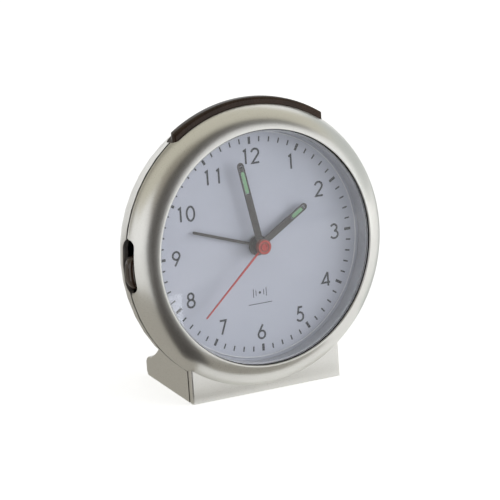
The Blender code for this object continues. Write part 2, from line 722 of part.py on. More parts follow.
def make_rear_fittings():
    # Everything that stands on the inside of the rear shell, as one tool
    reach = BACK_Z + CASE_WALL / 2
    front = REAR_Z - CLEARANCE
    half = WELL_HALF_HEIGHT + WELL_WALL
    low = (WELL_LEFT - WELL_WALL, CELL_HEIGHT_ON_DIAL - half, BACK_Z)
    high = (WELL_RIGHT + WELL_WALL, CELL_HEIGHT_ON_DIAL + half, front)
    fittings = add_tool(box("well_block", low, high))
    for x, y in ring_places(SCREW_CIRCLE, SCREW_ANGLES):
        boss = rod("rear_boss", SCREW_HEAD + CLEARANCE + BOSS_WALL, BACK_Z, front)
        join(fittings, add_tool(boss, (x, y, 0.0)))
    for y in BOARD_SCREW_Y:
        post = rod("board_post", POST_RADIUS, reach, BOARD_BACK_Z - CLEARANCE, SMALL_STEPS)
        join(fittings, add_tool(post, (BOARD_SCREW_X, y, 0.0)))
    room = ROD_RADIUS + CLEARANCE
    for side in (-1, 1):
        left = side * CRADLE_X - CRADLE_THICK / 2
        low = (left, ROD_HEIGHT_ON_DIAL - room, reach)
        high = (left + CRADLE_THICK, ROD_HEIGHT_ON_DIAL + room, -ROD_DEPTH - CLEARANCE)
        join(fittings, add_tool(box("cradle", low, high)))
    notch = rod("cradle_notch", room, -ROD_LENGTH, ROD_LENGTH)
    cut(fittings, add_tool(notch, (0.0, ROD_HEIGHT_ON_DIAL, -ROD_DEPTH), ALONG_X))
    room = BUZZER_RADIUS + CLEARANCE
    holder = rod("buzzer_holder", room + BOSS_WALL, reach, -BUZZER_FRONT - CLEARANCE)
    join(fittings, add_tool(holder, (BUZZER_X, BUZZER_Y, 0.0)))
    chamber = rod("buzzer_chamber", room, BACK_Z - CASE_WALL, 0.0)
    cut(fittings, add_tool(chamber, (BUZZER_X, BUZZER_Y, 0.0)))
    half = TACT_SIZE / 2 + BOSS_WALL
    shelf = box("switch_shelf", (-half, SHELF_TOP - CASE_WALL, reach), (half, SHELF_TOP, front))
    join(fittings, add_tool(shelf))
    return fittings


def cut_rear_holes(case):
    well = box(
        "well_room",
        (WELL_LEFT, CELL_HEIGHT_ON_DIAL - WELL_HALF_HEIGHT, BACK_Z - SHELL_REACH),
        (WELL_RIGHT, CELL_HEIGHT_ON_DIAL + WELL_HALF_HEIGHT, WELL_FRONT_Z),
    )
    cut(case, add_tool(well))
    for x, y in ring_places(SCREW_CIRCLE, SCREW_ANGLES):
        seat = -SCREW_SEAT_DEPTH
        pit = rod("screw_pit", SCREW_HEAD + CLEARANCE, BACK_Z - SHELL_REACH, seat)
        cut(case, add_tool(pit, (x, y, 0.0)))
        hole = rod("screw_hole", SCREW_SHANK + CLEARANCE, seat - CASE_WALL, SEAM_Z + CASE_WALL)
        cut(case, add_tool(hole, (x, y, 0.0)))
    outside = BACK_Z - CASE_WALL
    inside = BACK_INNER_Z + CASE_WALL
    for y in BUTTON_Y:
        hole = rod("button_hole", BUTTON_RADIUS + CLEARANCE, outside, inside)
        cut(case, add_tool(hole, (BUTTON_X, y, 0.0)))
    for y in BOARD_SCREW_Y:
        low = BOARD_BACK_Z - BOARD_SCREW_BITE - SMALL_SHANK
        hole = rod("post_hole", SMALL_SHANK + CLEARANCE, low, BOARD_BACK_Z + CASE_WALL)
        cut(case, add_tool(hole, (BOARD_SCREW_X, y, 0.0)))
    knob_hole = rod("knob_hole", ALARM_SHAFT_RADIUS + CLEARANCE, outside, inside)
    cut(case, add_tool(knob_hole, (ALARM_SHAFT_X, ALARM_SHAFT_Y, 0.0)))
    for slot in range(GRILLE_SLOTS):
        y = BUZZER_Y + (slot - (GRILLE_SLOTS - 1) / 2) * GRILLE_PITCH
        low = (BUZZER_X - GRILLE_LENGTH / 2, y - GRILLE_SLOT / 2, outside)
        high = (BUZZER_X + GRILLE_LENGTH / 2, y + GRILLE_SLOT / 2, -BUZZER_FRONT - BUZZER_THICK)
        cut(case, add_tool(box("grille", low, high)))


def make_rear_case(material):
    outer = turned("rear_case", drum_profile(0.0, REAR_Z), CASE_STEPS)
    case = add_part("rear_case", outer, material)
    join(case, add_tool(rear_foot_mesh(), turn=ALONG_X, in_dial_frame=False))
    hollow = turned("rear_hollow", drum_profile(CASE_WALL, SEAM_Z + CASE_WALL), CASE_STEPS)
    cut(case, add_tool(hollow))
    half = FOOT_WIDTH / 2 - CASE_WALL
    foot_room = prism("foot_room", rear_foot_outline(CASE_WALL), -half, half)
    cut(case, add_tool(foot_room, turn=ALONG_X, in_dial_frame=False))
    cut(case, snooze_slot_tool())
    cut(case, flank_slot_tool())
    fittings = make_rear_fittings()
    keep(fittings, add_tool(turned("rear_inside", drum_profile(CASE_WALL / 2, SEAM_Z), CASE_STEPS)))
    join(case, fittings)
    cut_rear_holes(case)
    return case


def make_battery_door(material):
    half = WELL_HALF_HEIGHT - CLEARANCE
    low = (WELL_LEFT + CLEARANCE, CELL_HEIGHT_ON_DIAL - half, BACK_Z - CASE_WALL)
    high = (WELL_RIGHT - CLEARANCE, CELL_HEIGHT_ON_DIAL + half, CELL_Z)
    door = add_part("battery_door", box("battery_door", low, high), material)
    keep(door, add_tool(turned("door_outer", drum_profile(0.0, REAR_Z), CASE_STEPS)))
    cut(door, add_tool(turned("door_inner", drum_profile(DOOR_THICK, SEAM_Z), CASE_STEPS)))
    return door


# Lens, dial and hands

def make_lens(material):
    outside = OPENING_RADIUS - LENS_GAP
    inside = outside - LENS_SKIRT
    top = RING_HEIGHT - LENS_SINK
    ease = LENS_GAP
    profile = [
        (0.0, top),
        (outside - ease, top),
        (outside, top - ease),
        (outside, FLANGE_TOP_Z),
        (outside + LENS_FLANGE, FLANGE_TOP_Z),
        (outside + LENS_FLANGE, CLEARANCE),
        (inside, CLEARANCE),
        (inside, top - LENS_FRONT),
        (0.0, top - LENS_FRONT),
    ]
    return add_part("lens", turned("lens", profile, CASE_STEPS), material)


def make_dial(material):
    disc = rod("dial_plate", DIAL_RADIUS, DIAL_BACK_Z, 0.0, CASE_STEPS)
    dial = add_part("dial_plate", disc, material)
    for x, y in ring_places(EAR_CIRCLE, EAR_ANGLES):
        ear = rod("dial_ear", EAR_RADIUS, DIAL_BACK_Z + CLEARANCE, -CLEARANCE, SMALL_STEPS)
        join(dial, add_tool(ear, (x, y, 0.0)))
        hole = rod("dial_ear_hole", SMALL_SHANK + CLEARANCE, -CASE_WALL, CASE_WALL, SMALL_STEPS)
        cut(dial, add_tool(hole, (x, y, 0.0)))
    for x, y in ring_places(SCREW_CIRCLE, SCREW_ANGLES):
        notch = rod("dial_notch", SCREW_BOSS + CLEARANCE, -CASE_WALL, CASE_WALL)
        cut(dial, add_tool(notch, (x, y, 0.0)))
    cut(dial, add_tool(rod("dial_hole", ALARM_PIPE + CLEARANCE, -CASE_WALL, CASE_WALL)))
    edge = SLIDER_PLATE_FACE - SLIDER_PLATE_THICK - CLEARANCE
    reach = SLOT_HALF_LENGTH + SLIDER_TRAVEL + SHELL_REACH
    flat = box("dial_flat", (-2 * CASE_RADIUS, -reach, -CASE_WALL), (-edge, reach, CASE_WALL))
    cut(dial, add_tool(flat))
    for side, y in zip((1, -1), MOVEMENT_EAR_Y):
        hole = rod("dial_blind_hole", SMALL_SHANK + CLEARANCE, -CASE_WALL, BLIND_Z, SMALL_STEPS)
        cut(dial, add_tool(hole, (side * MOVEMENT_EAR_X, y, 0.0)))
    return dial


def blade_outline(length, width, hub):
    # A parallel blade with a round tip that grows out of a round hub
    half = width / 2
    start = math.asin(half / hub)
    round_hub = sweep((0.0, 0.0), hub, hub, QUARTER + start, 5 * QUARTER - start, ROUND_STEPS)
    round_tip = sweep((0.0, length - half), half, half, 0.0, 2 * QUARTER, INNER_ARC_STEPS)
    return round_hub + round_tip


def make_hand(name, material, height, length, width, hub, bore, angle):
    blade = prism(name, blade_outline(length, width, hub), height, height + HAND_SHEET)
    hand = add_part(name, blade, material, turn=(0.0, 0.0, -angle))
    hole = rod(name + "_bore", bore, height - HAND_SHEET, height + 2 * HAND_SHEET)
    cut(hand, add_tool(hole))
    return hand


def make_inlay(name, hand, material, height, start, end, angle):
    grow = PIPE_GAP
    half = INLAY_WIDTH / 2
    room = rectangle(-half - grow, half + grow, start - grow, end + grow)
    window = prism(name + "_window", room, height - HAND_SHEET, height + 2 * HAND_SHEET)
    cut(hand, add_tool(window, turn=(0.0, 0.0, -angle)))
    strip = prism(name, rectangle(-half, half, start, end), height, height + HAND_SHEET)
    return add_part(name, strip, material, turn=(0.0, 0.0, -angle))


def make_second_hand(material):
    low = SECOND_HAND_HEIGHT
    root = SECOND_HAND_ROOT / 2
    tip = SECOND_HAND_TIP / 2
    needle = [(root, 0.0), (tip, SECOND_HAND_LENGTH), (-tip, SECOND_HAND_LENGTH), (-root, 0.0)]
    ease = SECOND_CAP_THICK / 4
    profile = [
        (0.0, low + SECOND_CAP_THICK),
        (SECOND_CAP_RADIUS - ease, low + SECOND_CAP_THICK),
        (SECOND_CAP_RADIUS, low + SECOND_CAP_THICK - ease),
        (SECOND_CAP_RADIUS, low - CLEARANCE),
        (0.0, low - CLEARANCE),
    ]
    cap = turned("second_hand", profile, ROUND_STEPS)
    hand = add_part("second_hand", cap, material, turn=(0.0, 0.0, -SECOND_ANGLE))
    needle_mesh = prism("needle", needle, low, low + HAND_SHEET)
    join(hand, add_tool(needle_mesh, turn=(0.0, 0.0, -SECOND_ANGLE)))
    bore_top = low + SECOND_CAP_THICK / 2
    bore = rod("cap_bore", SECOND_ARBOR + CLEARANCE, low - CASE_WALL, bore_top, SMALL_STEPS)
    cut(hand, add_tool(bore))
    return hand


def make_hands(grey, green, red):
    make_hand(
        "alarm_hand",
        grey,
        ALARM_HAND_HEIGHT,
        ALARM_HAND_LENGTH,
        ALARM_HAND_WIDTH,
        ALARM_HUB,
        ALARM_PIPE + CLEARANCE,
        ALARM_ANGLE,
    )
    hour = make_hand(
        "hour_hand",
        grey,
        HOUR_HAND_HEIGHT,
        HOUR_HAND_LENGTH,
        HOUR_HAND_WIDTH,
        HOUR_HUB,
        HOUR_PIPE + CLEARANCE,
        HOUR_ANGLE,
    )
    end = HOUR_HAND_LENGTH - INLAY_END
    make_inlay("hour_inlay", hour, green, HOUR_HAND_HEIGHT, HOUR_INLAY_START, end, HOUR_ANGLE)
    minute = make_hand(
        "minute_hand",
        grey,
        MINUTE_HAND_HEIGHT,
        MINUTE_HAND_LENGTH,
        MINUTE_HAND_WIDTH,
        MINUTE_HUB,
        MINUTE_PIPE + CLEARANCE,
        MINUTE_ANGLE,
    )
    end = MINUTE_HAND_LENGTH - INLAY_END
    height = MINUTE_HAND_HEIGHT
    make_inlay("minute_inlay", minute, green, height, MINUTE_INLAY_START, end, MINUTE_ANGLE)
    make_second_hand(red)


# Movement

def make_wheel(name, material, place, gears, rods, bore=0.0):
    # Toothed discs and plain rods on one axis, as one piece, with a bore if it has one
    teeth, module, phase, low, high = gears[0]
    disc = prism(name, gear_outline(teeth, module, phase), low, high)
    wheel = add_part(name, disc, material, place)
    for teeth, module, phase, low, high in gears[1:]:
        pinion = prism(name + "_pinion", gear_outline(teeth, module, phase), low, high)
        join(wheel, add_tool(pinion, place))
    for radius, low, high in rods:
        join(wheel, add_tool(rod(name + "_arbor", radius, low, high, SMALL_STEPS), place))
    if bore > 0.0:
        hole = rod(name + "_bore", bore, BACK_Z, RING_HEIGHT, SMALL_STEPS)
        cut(wheel, add_tool(hole, place))
    return wheel


def make_hand_wheels(brass, plastic):
    origin = (0.0, 0.0, 0.0)
    alarm_gear = (ALARM_TEETH, MODULE, ALARM_SHAFT_ANGLE, ALARM_LEVEL, ALARM_LEVEL + WHEEL_THICK)
    alarm_rod = (ALARM_PIPE, ALARM_LEVEL + WHEEL_THICK / 2, ALARM_HAND_HEIGHT + HAND_SHEET)
    make_wheel("alarm_wheel", plastic, origin, [alarm_gear], [alarm_rod], ALARM_PIPE_BORE)
    hour_phase = QUARTER + math.pi / HOUR_TEETH
    hour_gear = (HOUR_TEETH, MODULE, hour_phase, HOUR_LEVEL, HOUR_LEVEL + WHEEL_THICK)
    hour_rod = (HOUR_PIPE, HOUR_LEVEL + WHEEL_THICK / 2, HOUR_HAND_HEIGHT + HAND_SHEET)
    make_wheel("hour_wheel", plastic, origin, [hour_gear], [hour_rod], HOUR_PIPE_BORE)
    drive_phase = math.pi + math.pi / DRIVE_TEETH
    drive_gear = (DRIVE_TEETH, MODULE, drive_phase, DRIVE_LEVEL, DRIVE_LEVEL + WHEEL_THICK)
    minute_low = DRIVE_LEVEL + WHEEL_THICK / 2
    minute_gear = (MINUTE_PINION_TEETH, MODULE, QUARTER, minute_low, MOTION_LEVEL + WHEEL_THICK)
    minute_rod = (MINUTE_PIPE, minute_low, MINUTE_HAND_HEIGHT + HAND_SHEET)
    gears = [drive_gear, minute_gear]
    make_wheel("minute_wheel", brass, origin, gears, [minute_rod], MINUTE_PIPE_BORE)
    second_phase = math.pi / DRIVE_TEETH
    second_gear = (DRIVE_TEETH, MODULE, second_phase, SECOND_LEVEL, SECOND_LEVEL + WHEEL_THICK)
    arbor_top = SECOND_HAND_HEIGHT + SECOND_CAP_THICK / 2 - CLEARANCE
    second_rod = (SECOND_ARBOR, PIVOT_BACK_Z, arbor_top)
    make_wheel("second_wheel", brass, origin, [second_gear], [second_rod])


def make_motion_wheel(plastic):
    place = (0.0, MOTION_CENTRE, 0.0)
    phase = -QUARTER + math.pi / MOTION_TEETH
    wheel = (MOTION_TEETH, MODULE, phase, MOTION_LEVEL, MOTION_LEVEL + WHEEL_THICK)
    pinion_low = MOTION_LEVEL + WHEEL_THICK / 2
    pinion = (MOTION_PINION_TEETH, MODULE, -QUARTER, pinion_low, HOUR_LEVEL + WHEEL_THICK)
    arbor = (TRAIN_ARBOR, PIVOT_BACK_Z, PIVOT_FRONT_Z)
    make_wheel("motion_wheel", plastic, place, [wheel, pinion], [arbor])


def make_motor_train(name, side, level, plastic, steel):
    # side is -1 for the minute motor on the left and 1 for the second motor on the right
    outward = 0.0 if side > 0 else math.pi
    inward = math.pi - outward
    arbor = (TRAIN_ARBOR, PIVOT_BACK_Z, PIVOT_FRONT_Z)
    stage_phase = outward + math.pi / STAGE_TEETH
    stage = (STAGE_TEETH, FINE_MODULE, stage_phase, STAGE_LEVEL, STAGE_LEVEL + WHEEL_THICK)
    pinion_low = level - LEVEL_GAP / 2
    pinion = (STAGE_PINION_TEETH, MODULE, inward, pinion_low, level + WHEEL_THICK)
    hub = (TRAIN_HUB, STAGE_LEVEL + WHEEL_THICK / 2, level)
    place = (side * STAGE_CENTRE, 0.0, 0.0)
    make_wheel(name + "_stage_wheel", plastic, place, [stage, pinion], [arbor, hub])
    rotor_low = STAGE_LEVEL - LEVEL_GAP - MAGNET_THICK / 4
    rotor = (ROTOR_TEETH, FINE_MODULE, inward, rotor_low, STAGE_LEVEL + WHEEL_THICK)
    magnet = (MAGNET_RADIUS, MAGNET_LEVEL, MAGNET_LEVEL + MAGNET_THICK)
    place = (side * ROTOR_CENTRE, 0.0, 0.0)
    make_wheel(name + "_rotor", steel, place, [rotor], [arbor, magnet])


def make_motor_stator(name, side, steel, copper):
    inner = ROTOR_CENTRE - MAGNET_RADIUS - STATOR_ARM
    outer = MOVEMENT_HALF_WIDTH - MOVEMENT_MARGIN
    low = STATOR_MIDDLE - STATOR_THICK / 2
    high = STATOR_MIDDLE + STATOR_THICK / 2
    bottom = -MAGNET_RADIUS - STATOR_ARM
    top = COIL_HEIGHT_ON_DIAL + STATOR_ARM / 2
    left, right = sorted((side * inner, side * outer))
    plate = box(name + "_stator", (left, bottom, low), (right, top, high))
    stator = add_part(name + "_stator", plate, steel)
    eye = rod(name + "_eye", STATOR_EYE, low - CASE_WALL, high + CASE_WALL)
    cut(stator, add_tool(eye, (side * ROTOR_CENTRE, 0.0, 0.0)))
    middle = (left + right) / 2
    half = COIL_LENGTH / 2 + CLEARANCE
    window_low = (middle - half, MAGNET_RADIUS + STATOR_ARM, low - CASE_WALL)
    window_high = (middle + half, COIL_HEIGHT_ON_DIAL - STATOR_ARM / 2, high + CASE_WALL)
    cut(stator, add_tool(box(name + "_window", window_low, window_high)))
    room = STATOR_ARM / 2 + CLEARANCE
    core_low = (middle - COIL_LENGTH, COIL_HEIGHT_ON_DIAL - room, low - CLEARANCE)
    core_high = (middle + COIL_LENGTH, COIL_HEIGHT_ON_DIAL + room, high + CLEARANCE)
    winding = rod(name + "_coil", COIL_RADIUS, -COIL_LENGTH / 2, COIL_LENGTH / 2)
    place = (middle, COIL_HEIGHT_ON_DIAL, STATOR_MIDDLE)
    coil = add_part(name + "_coil", winding, copper, place, ALONG_X)
    cut(coil, add_tool(box(name + "_core", core_low, core_high)))


def make_alarm_setting(plastic, dark):
    place = (ALARM_SHAFT_X, ALARM_SHAFT_Y, 0.0)
    phase = ALARM_SHAFT_ANGLE + math.pi + math.pi / ALARM_PINION_TEETH
    pinion = (ALARM_PINION_TEETH, MODULE, phase, ALARM_LEVEL, ALARM_LEVEL + WHEEL_THICK)
    shaft_end = BACK_Z - CLEARANCE - KNOB_THICK / 2
    shaft = (ALARM_SHAFT_RADIUS, shaft_end, PIVOT_FRONT_Z)
    make_wheel("alarm_set_shaft", plastic, place, [pinion], [shaft])
    outline = []
    for step in range(KNOB_FLUTES * 2):
        angle = math.pi * step / KNOB_FLUTES
        reach = KNOB_RADIUS - KNOB_FLUTE_DEPTH * (step % 2)
        outline.append((reach * math.cos(angle), reach * math.sin(angle)))
    high = BACK_Z - CLEARANCE
    knob = add_part("alarm_knob", prism("alarm_knob", outline, high - KNOB_THICK, high), dark, place)
    bore = rod("knob_bore", ALARM_SHAFT_RADIUS + CLEARANCE, shaft_end - CLEARANCE, high + CASE_WALL)
    cut(knob, add_tool(bore, place))


def bearing_places():
    places = [(0.0, MOTION_CENTRE)]
    for side in (-1, 1):
        places.append((side * STAGE_CENTRE, 0.0))
        places.append((side * ROTOR_CENTRE, 0.0))
    return places


def make_movement_housing(plastic):
    half = MOVEMENT_HALF_WIDTH
    low = (-half, -MOVEMENT_BOTTOM, BASE_BACK_Z)
    high = (half, MOVEMENT_TOP, BASE_FRONT_Z)
    behind = BASE_BACK_Z - CASE_WALL
    base = add_part("movement_base", box("movement_base", low, high), plastic)
    for side, y in zip((1, -1), MOVEMENT_EAR_Y):
        place = (side * MOVEMENT_EAR_X, y, 0.0)
        ear_low = BASE_BACK_Z + CLEARANCE / 2
        ear_high = BASE_FRONT_Z - CLEARANCE / 2
        ear = rod("movement_ear", MOVEMENT_EAR_RADIUS, ear_low, ear_high, SMALL_STEPS)
        join(base, add_tool(ear, place))
        hole = rod("movement_ear_hole", SMALL_SHANK + CLEARANCE, behind, 0.0, SMALL_STEPS)
        cut(base, add_tool(hole, place))
    cut(base, add_tool(rod("base_hub", ALARM_PIPE + CLEARANCE, behind, 0.0)))
    for x, y in bearing_places():
        pivot = rod("base_pivot", TRAIN_ARBOR + CLEARANCE, behind, 0.0, SMALL_STEPS)
        cut(base, add_tool(pivot, (x, y, 0.0)))
    shaft_seat = rod("shaft_seat", ALARM_SHAFT_RADIUS + CLEARANCE, behind, 0.0)
    cut(base, add_tool(shaft_seat, (ALARM_SHAFT_X, ALARM_SHAFT_Y, 0.0)))
    low = (-half, -MOVEMENT_BOTTOM, COVER_OUTER_Z)
    high = (half, MOVEMENT_TOP, BASE_BACK_Z - CLEARANCE)
    cover = add_part("movement_cover", box("movement_cover", low, high), plastic)
    wall = MOVEMENT_WALL
    low = (-half + wall, -MOVEMENT_BOTTOM + wall, COVER_INNER_Z)
    high = (half - wall, MOVEMENT_TOP - wall, BASE_FRONT_Z)
    cut(cover, add_tool(box("cover_room", low, high)))
    ahead = COVER_INNER_Z + CASE_WALL
    for x, y in bearing_places() + [(0.0, 0.0)]:
        pivot = rod("cover_pivot", TRAIN_ARBOR + CLEARANCE, BACK_Z, ahead, SMALL_STEPS)
        cut(cover, add_tool(pivot, (x, y, 0.0)))
    pass_hole = rod("shaft_pass", ALARM_SHAFT_RADIUS + CLEARANCE, BACK_Z, ahead)
    cut(cover, add_tool(pass_hole, (ALARM_SHAFT_X, ALARM_SHAFT_Y, 0.0)))


# Electronics and battery

def make_tact_switch(name, material, place, turn):
    half = TACT_SIZE / 2
    body = box(name, (-half, -half, 0.0), (half, half, TACT_HEIGHT))
    switch = add_part(name, body, material, place, turn)
    top = TACT_HEIGHT + TACT_KNOB_HEIGHT
    knob = rod(name + "_knob", TACT_KNOB_RADIUS, TACT_HEIGHT / 2, top, SMALL_STEPS)
    join(switch, add_tool(knob, place, turn))
    return switch


def make_board(board_material, dark, steel):
    low = (BOARD_LEFT, BOARD_BOTTOM, BOARD_BACK_Z)
    high = (BOARD_RIGHT, BOARD_TOP, BOARD_FRONT_Z)
    board = add_part("circuit_board", box("circuit_board", low, high), board_material)
    for y in BOARD_SCREW_Y:
        behind = BOARD_BACK_Z - CASE_WALL
        hole = rod("board_hole", SMALL_SHANK + CLEARANCE, behind, 0.0, SMALL_STEPS)
        cut(board, add_tool(hole, (BOARD_SCREW_X, y, 0.0)))
    for name, y in zip(("receive_switch", "set_switch"), BUTTON_Y):
        place = (BUTTON_X, y, BOARD_BACK_Z - CLEARANCE)
        make_tact_switch(name, dark, place, FACING_BACK)
    half = CHIP_SIZE / 2
    chip_x = BOARD_RIGHT - CHIP_EDGE - half
    chip_y = BOARD_TOP - CHIP_SIZE
    top = BOARD_FRONT_Z + CLEARANCE
    low = (chip_x - half, chip_y - half, top)
    high = (chip_x + half, chip_y + half, top + CHIP_THICK)
    add_part("receiver_chip", box("receiver_chip", low, high), dark)
    half = CRYSTAL_LENGTH / 2
    crystal = rod("quartz_crystal", CRYSTAL_RADIUS, -half, half, SMALL_STEPS)
    place = (BOARD_RIGHT - CHIP_EDGE - half, CRYSTAL_Y, top + CRYSTAL_RADIUS)
    add_part("quartz_crystal", crystal, steel, place, ALONG_X)


def make_battery(cell_material, steel):
    body_length = CELL_LENGTH - CELL_NUB_LENGTH
    profile = [
        (0.0, CELL_LENGTH / 2),
        (CELL_NUB_RADIUS, CELL_LENGTH / 2),
        (CELL_NUB_RADIUS, body_length - CELL_LENGTH / 2),
        (CELL_RADIUS, body_length - CELL_LENGTH / 2),
        (CELL_RADIUS, -CELL_LENGTH / 2),
        (0.0, -CELL_LENGTH / 2),
    ]
    place = (0.0, CELL_HEIGHT_ON_DIAL, CELL_Z)
    add_part("battery", turned("battery", profile, ROUND_STEPS), cell_material, place, ALONG_X)
    wire = SPRING_WIRE
    spring = [
        (SPRING_SMALL, SPRING_LENGTH - CLEARANCE),
        (SPRING_BIG, 0.0),
        (SPRING_BIG - wire, 0.0),
        (SPRING_SMALL - wire, SPRING_LENGTH - CLEARANCE),
    ]
    place = (WELL_LEFT + CLEARANCE, CELL_HEIGHT_ON_DIAL, CELL_Z)
    cone = turned("battery_spring", spring, ROUND_STEPS)
    add_part("battery_spring", cone, steel, place, ALONG_X)
    half = PLATE_SIZE / 2
    plate_x = CELL_LENGTH / 2 + CLEARANCE
    low = (plate_x, CELL_HEIGHT_ON_DIAL - half, CELL_Z - half)
    high = (plate_x + PLATE_THICK, CELL_HEIGHT_ON_DIAL + half, CELL_Z + half)
    add_part("battery_plate", box("battery_plate", low, high), steel)


def make_aerial(ferrite, copper):
    place = (0.0, ROD_HEIGHT_ON_DIAL, -ROD_DEPTH)
    core = rod("ferrite_rod", ROD_RADIUS, -ROD_LENGTH / 2, ROD_LENGTH / 2)
    add_part("ferrite_rod", core, ferrite, place, ALONG_X)
    half = AERIAL_COIL_LENGTH / 2
    bore = ROD_RADIUS + CLEARANCE
    profile = [(AERIAL_COIL_RADIUS, half), (AERIAL_COIL_RADIUS, -half), (bore, -half), (bore, half)]
    winding = turned("aerial_coil", profile, ROUND_STEPS)
    add_part("aerial_coil", winding, copper, place, ALONG_X)


def make_buzzer(dark):
    top = -BUZZER_FRONT
    profile = [
        (0.0, top),
        (BUZZER_RADIUS, top),
        (BUZZER_RADIUS, top - BUZZER_THICK),
        (0.0, top - BUZZER_THICK),
    ]
    disc = turned("buzzer", profile, ROUND_STEPS)
    add_part("buzzer", disc, dark, (BUZZER_X, BUZZER_Y, 0.0))


# Controls

def make_snooze_bar(material):
    bar_mesh = prism("snooze_bar", snooze_plan(0.0), 0.0, SNOOZE_RADIUS + CASE_WALL)
    bar = add_part("snooze_bar", bar_mesh, material, turn=ALONG_Y)
    root = SNOOZE_FLANGE_RADIUS - SNOOZE_FLANGE / 2
    edge = SNOOZE_EDGE_ROUND
    inner = SNOOZE_RADIUS - edge
    back_edge = sweep((inner, -SNOOZE_BACK + edge), edge, edge, -QUARTER, 0.0, EDGE_ARC_STEPS)
    front_edge = sweep((inner, SNOOZE_FRONT - edge), edge, edge, 0.0, QUARTER, EDGE_ARC_STEPS)
    profile = [(root, -SNOOZE_BACK)] + back_edge + front_edge + [(root, SNOOZE_FRONT)]
    keep(bar, add_tool(turned("snooze_section", profile, CASE_STEPS)))
    flange_front = SNOOZE_FRONT + SNOOZE_FLANGE
    flange_back = -SNOOZE_BACK - SNOOZE_FLANGE
    low = SNOOZE_FLANGE_ROOT
    high = SNOOZE_FLANGE_RADIUS
    band = [(low, flange_back), (high, flange_back), (high, flange_front), (low, flange_front)]
    half = SNOOZE_HALF_LENGTH - CLEARANCE
    block = box("snooze_flange", (-half, 0.0, -SHELL_REACH), (half, SNOOZE_RADIUS, SHELL_REACH))
    flange = add_tool(block)
    keep(flange, add_tool(turned("snooze_flange_band", band, CASE_STEPS)))
    join(bar, flange)
    half = SNOOZE_POST / 2
    post_end = SNOOZE_SWITCH_TOP + SNOOZE_TRAVEL + CLEARANCE
    post_low = (-half, post_end, -SNOOZE_SWITCH_DEPTH - half)
    post_high = (half, root, -SNOOZE_SWITCH_DEPTH + half)
    join(bar, add_tool(box("snooze_post", post_low, post_high)))
    return bar


def make_alarm_slider(material):
    lap = SLIDER_LAP
    half_length = SLOT_HALF_LENGTH + SLIDER_TRAVEL / 2 + lap
    half_width = SLOT_HALF_WIDTH + lap
    face = -SLIDER_PLATE_FACE
    middle = SLIDER_REST
    outline = rounded_rectangle(
        -half_length,
        half_length,
        -half_width,
        half_width,
        half_width - CLEARANCE,
        INNER_ARC_STEPS,
    )
    plate_mesh = prism("alarm_slider", outline, face, face + SLIDER_PLATE_THICK)
    place = (0.0, middle, 0.0)
    slider = add_part("alarm_slider", plate_mesh, material, place, ALONG_X)
    bm = bmesh.new()
    bmesh.ops.create_uvsphere(bm, u_segments=24, v_segments=12, radius=1.0)
    reach = CASE_RADIUS + THUMB_PROUD - SLIDER_PLATE_FACE + SLIDER_PLATE_THICK / 2
    bmesh.ops.scale(bm, verts=bm.verts, vec=(reach, THUMB_HALF_LENGTH, THUMB_HALF_WIDTH))
    centre = (face + SLIDER_PLATE_THICK / 2, middle, 0.0)
    thumb = add_tool(finish_mesh("thumb", bm), centre)
    front = (face + SLIDER_PLATE_THICK / 2, middle + 2 * THUMB_HALF_LENGTH, 2 * THUMB_HALF_WIDTH)
    back = (-CASE_RADIUS - CASE_WALL, middle - 2 * THUMB_HALF_LENGTH, -2 * THUMB_HALF_WIDTH)
    keep(thumb, add_tool(box("thumb_half", back, front)))
    join(slider, thumb)
    low = (face + CLEARANCE / 2, middle - LEVER_SIZE, -LEVER_DEPTH - LEVER_SIZE)
    high = (face + SLIDER_PLATE_THICK - CLEARANCE / 2, middle + LEVER_SIZE, -half_width / 2)
    join(slider, add_tool(box("slider_tongue", low, high)))
    return slider


def make_alarm_switch(dark, light):
    outer = -(SLIDER_PLATE_FACE - SLIDER_PLATE_THICK) + 2 * CLEARANCE
    half = LEVER_SIZE / 2
    room = half + CLEARANCE
    low = (outer, SLIDER_REST - room - BOSS_WALL, BOARD_FRONT_Z + CLEARANCE)
    high_y = SLIDER_REST + SLIDER_TRAVEL + room + BOSS_WALL
    high = (outer + SWITCH_DEEP, high_y, BOARD_FRONT_Z + CLEARANCE + SWITCH_HEIGHT)
    body = add_part("alarm_switch", box("alarm_switch", low, high), dark)
    track_low = (outer - CASE_WALL, SLIDER_REST - room, -LEVER_DEPTH - room)
    track_high = (outer + SWITCH_DEEP / 2, SLIDER_REST + SLIDER_TRAVEL + room, -LEVER_DEPTH + room)
    cut(body, add_tool(box("lever_track", track_low, track_high)))
    lever_low = (outer - CLEARANCE, SLIDER_REST - half, -LEVER_DEPTH - half)
    lever_high = (outer + SWITCH_DEEP / 2 - CLEARANCE, SLIDER_REST + half, -LEVER_DEPTH + half)
    add_part("alarm_switch_lever", box("alarm_switch_lever", lever_low, lever_high), light)


def make_rear_button(name, material, y):
    flange_low = BACK_INNER_Z + CLEARANCE
    flange_high = flange_low + BUTTON_FLANGE_THICK
    switch_end = BOARD_BACK_Z - CLEARANCE - TACT_HEIGHT - TACT_KNOB_HEIGHT
    post_end = switch_end - BUTTON_TRAVEL - CLEARANCE
    outside = BACK_Z - BUTTON_PROUD
    ease = BUTTON_PROUD / 2
    profile = [
        (0.0, post_end),
        (BUTTON_POST_RADIUS, post_end),
        (BUTTON_POST_RADIUS, flange_high),
        (BUTTON_RADIUS + BUTTON_FLANGE, flange_high),
        (BUTTON_RADIUS + BUTTON_FLANGE, flange_low),
        (BUTTON_RADIUS, flange_low),
        (BUTTON_RADIUS, outside + ease),
        (BUTTON_RADIUS - ease, outside),
        (0.0, outside),
    ]
    add_part(name, turned(name, profile, ROUND_STEPS), material, (BUTTON_X, y, 0.0))


# Fasteners

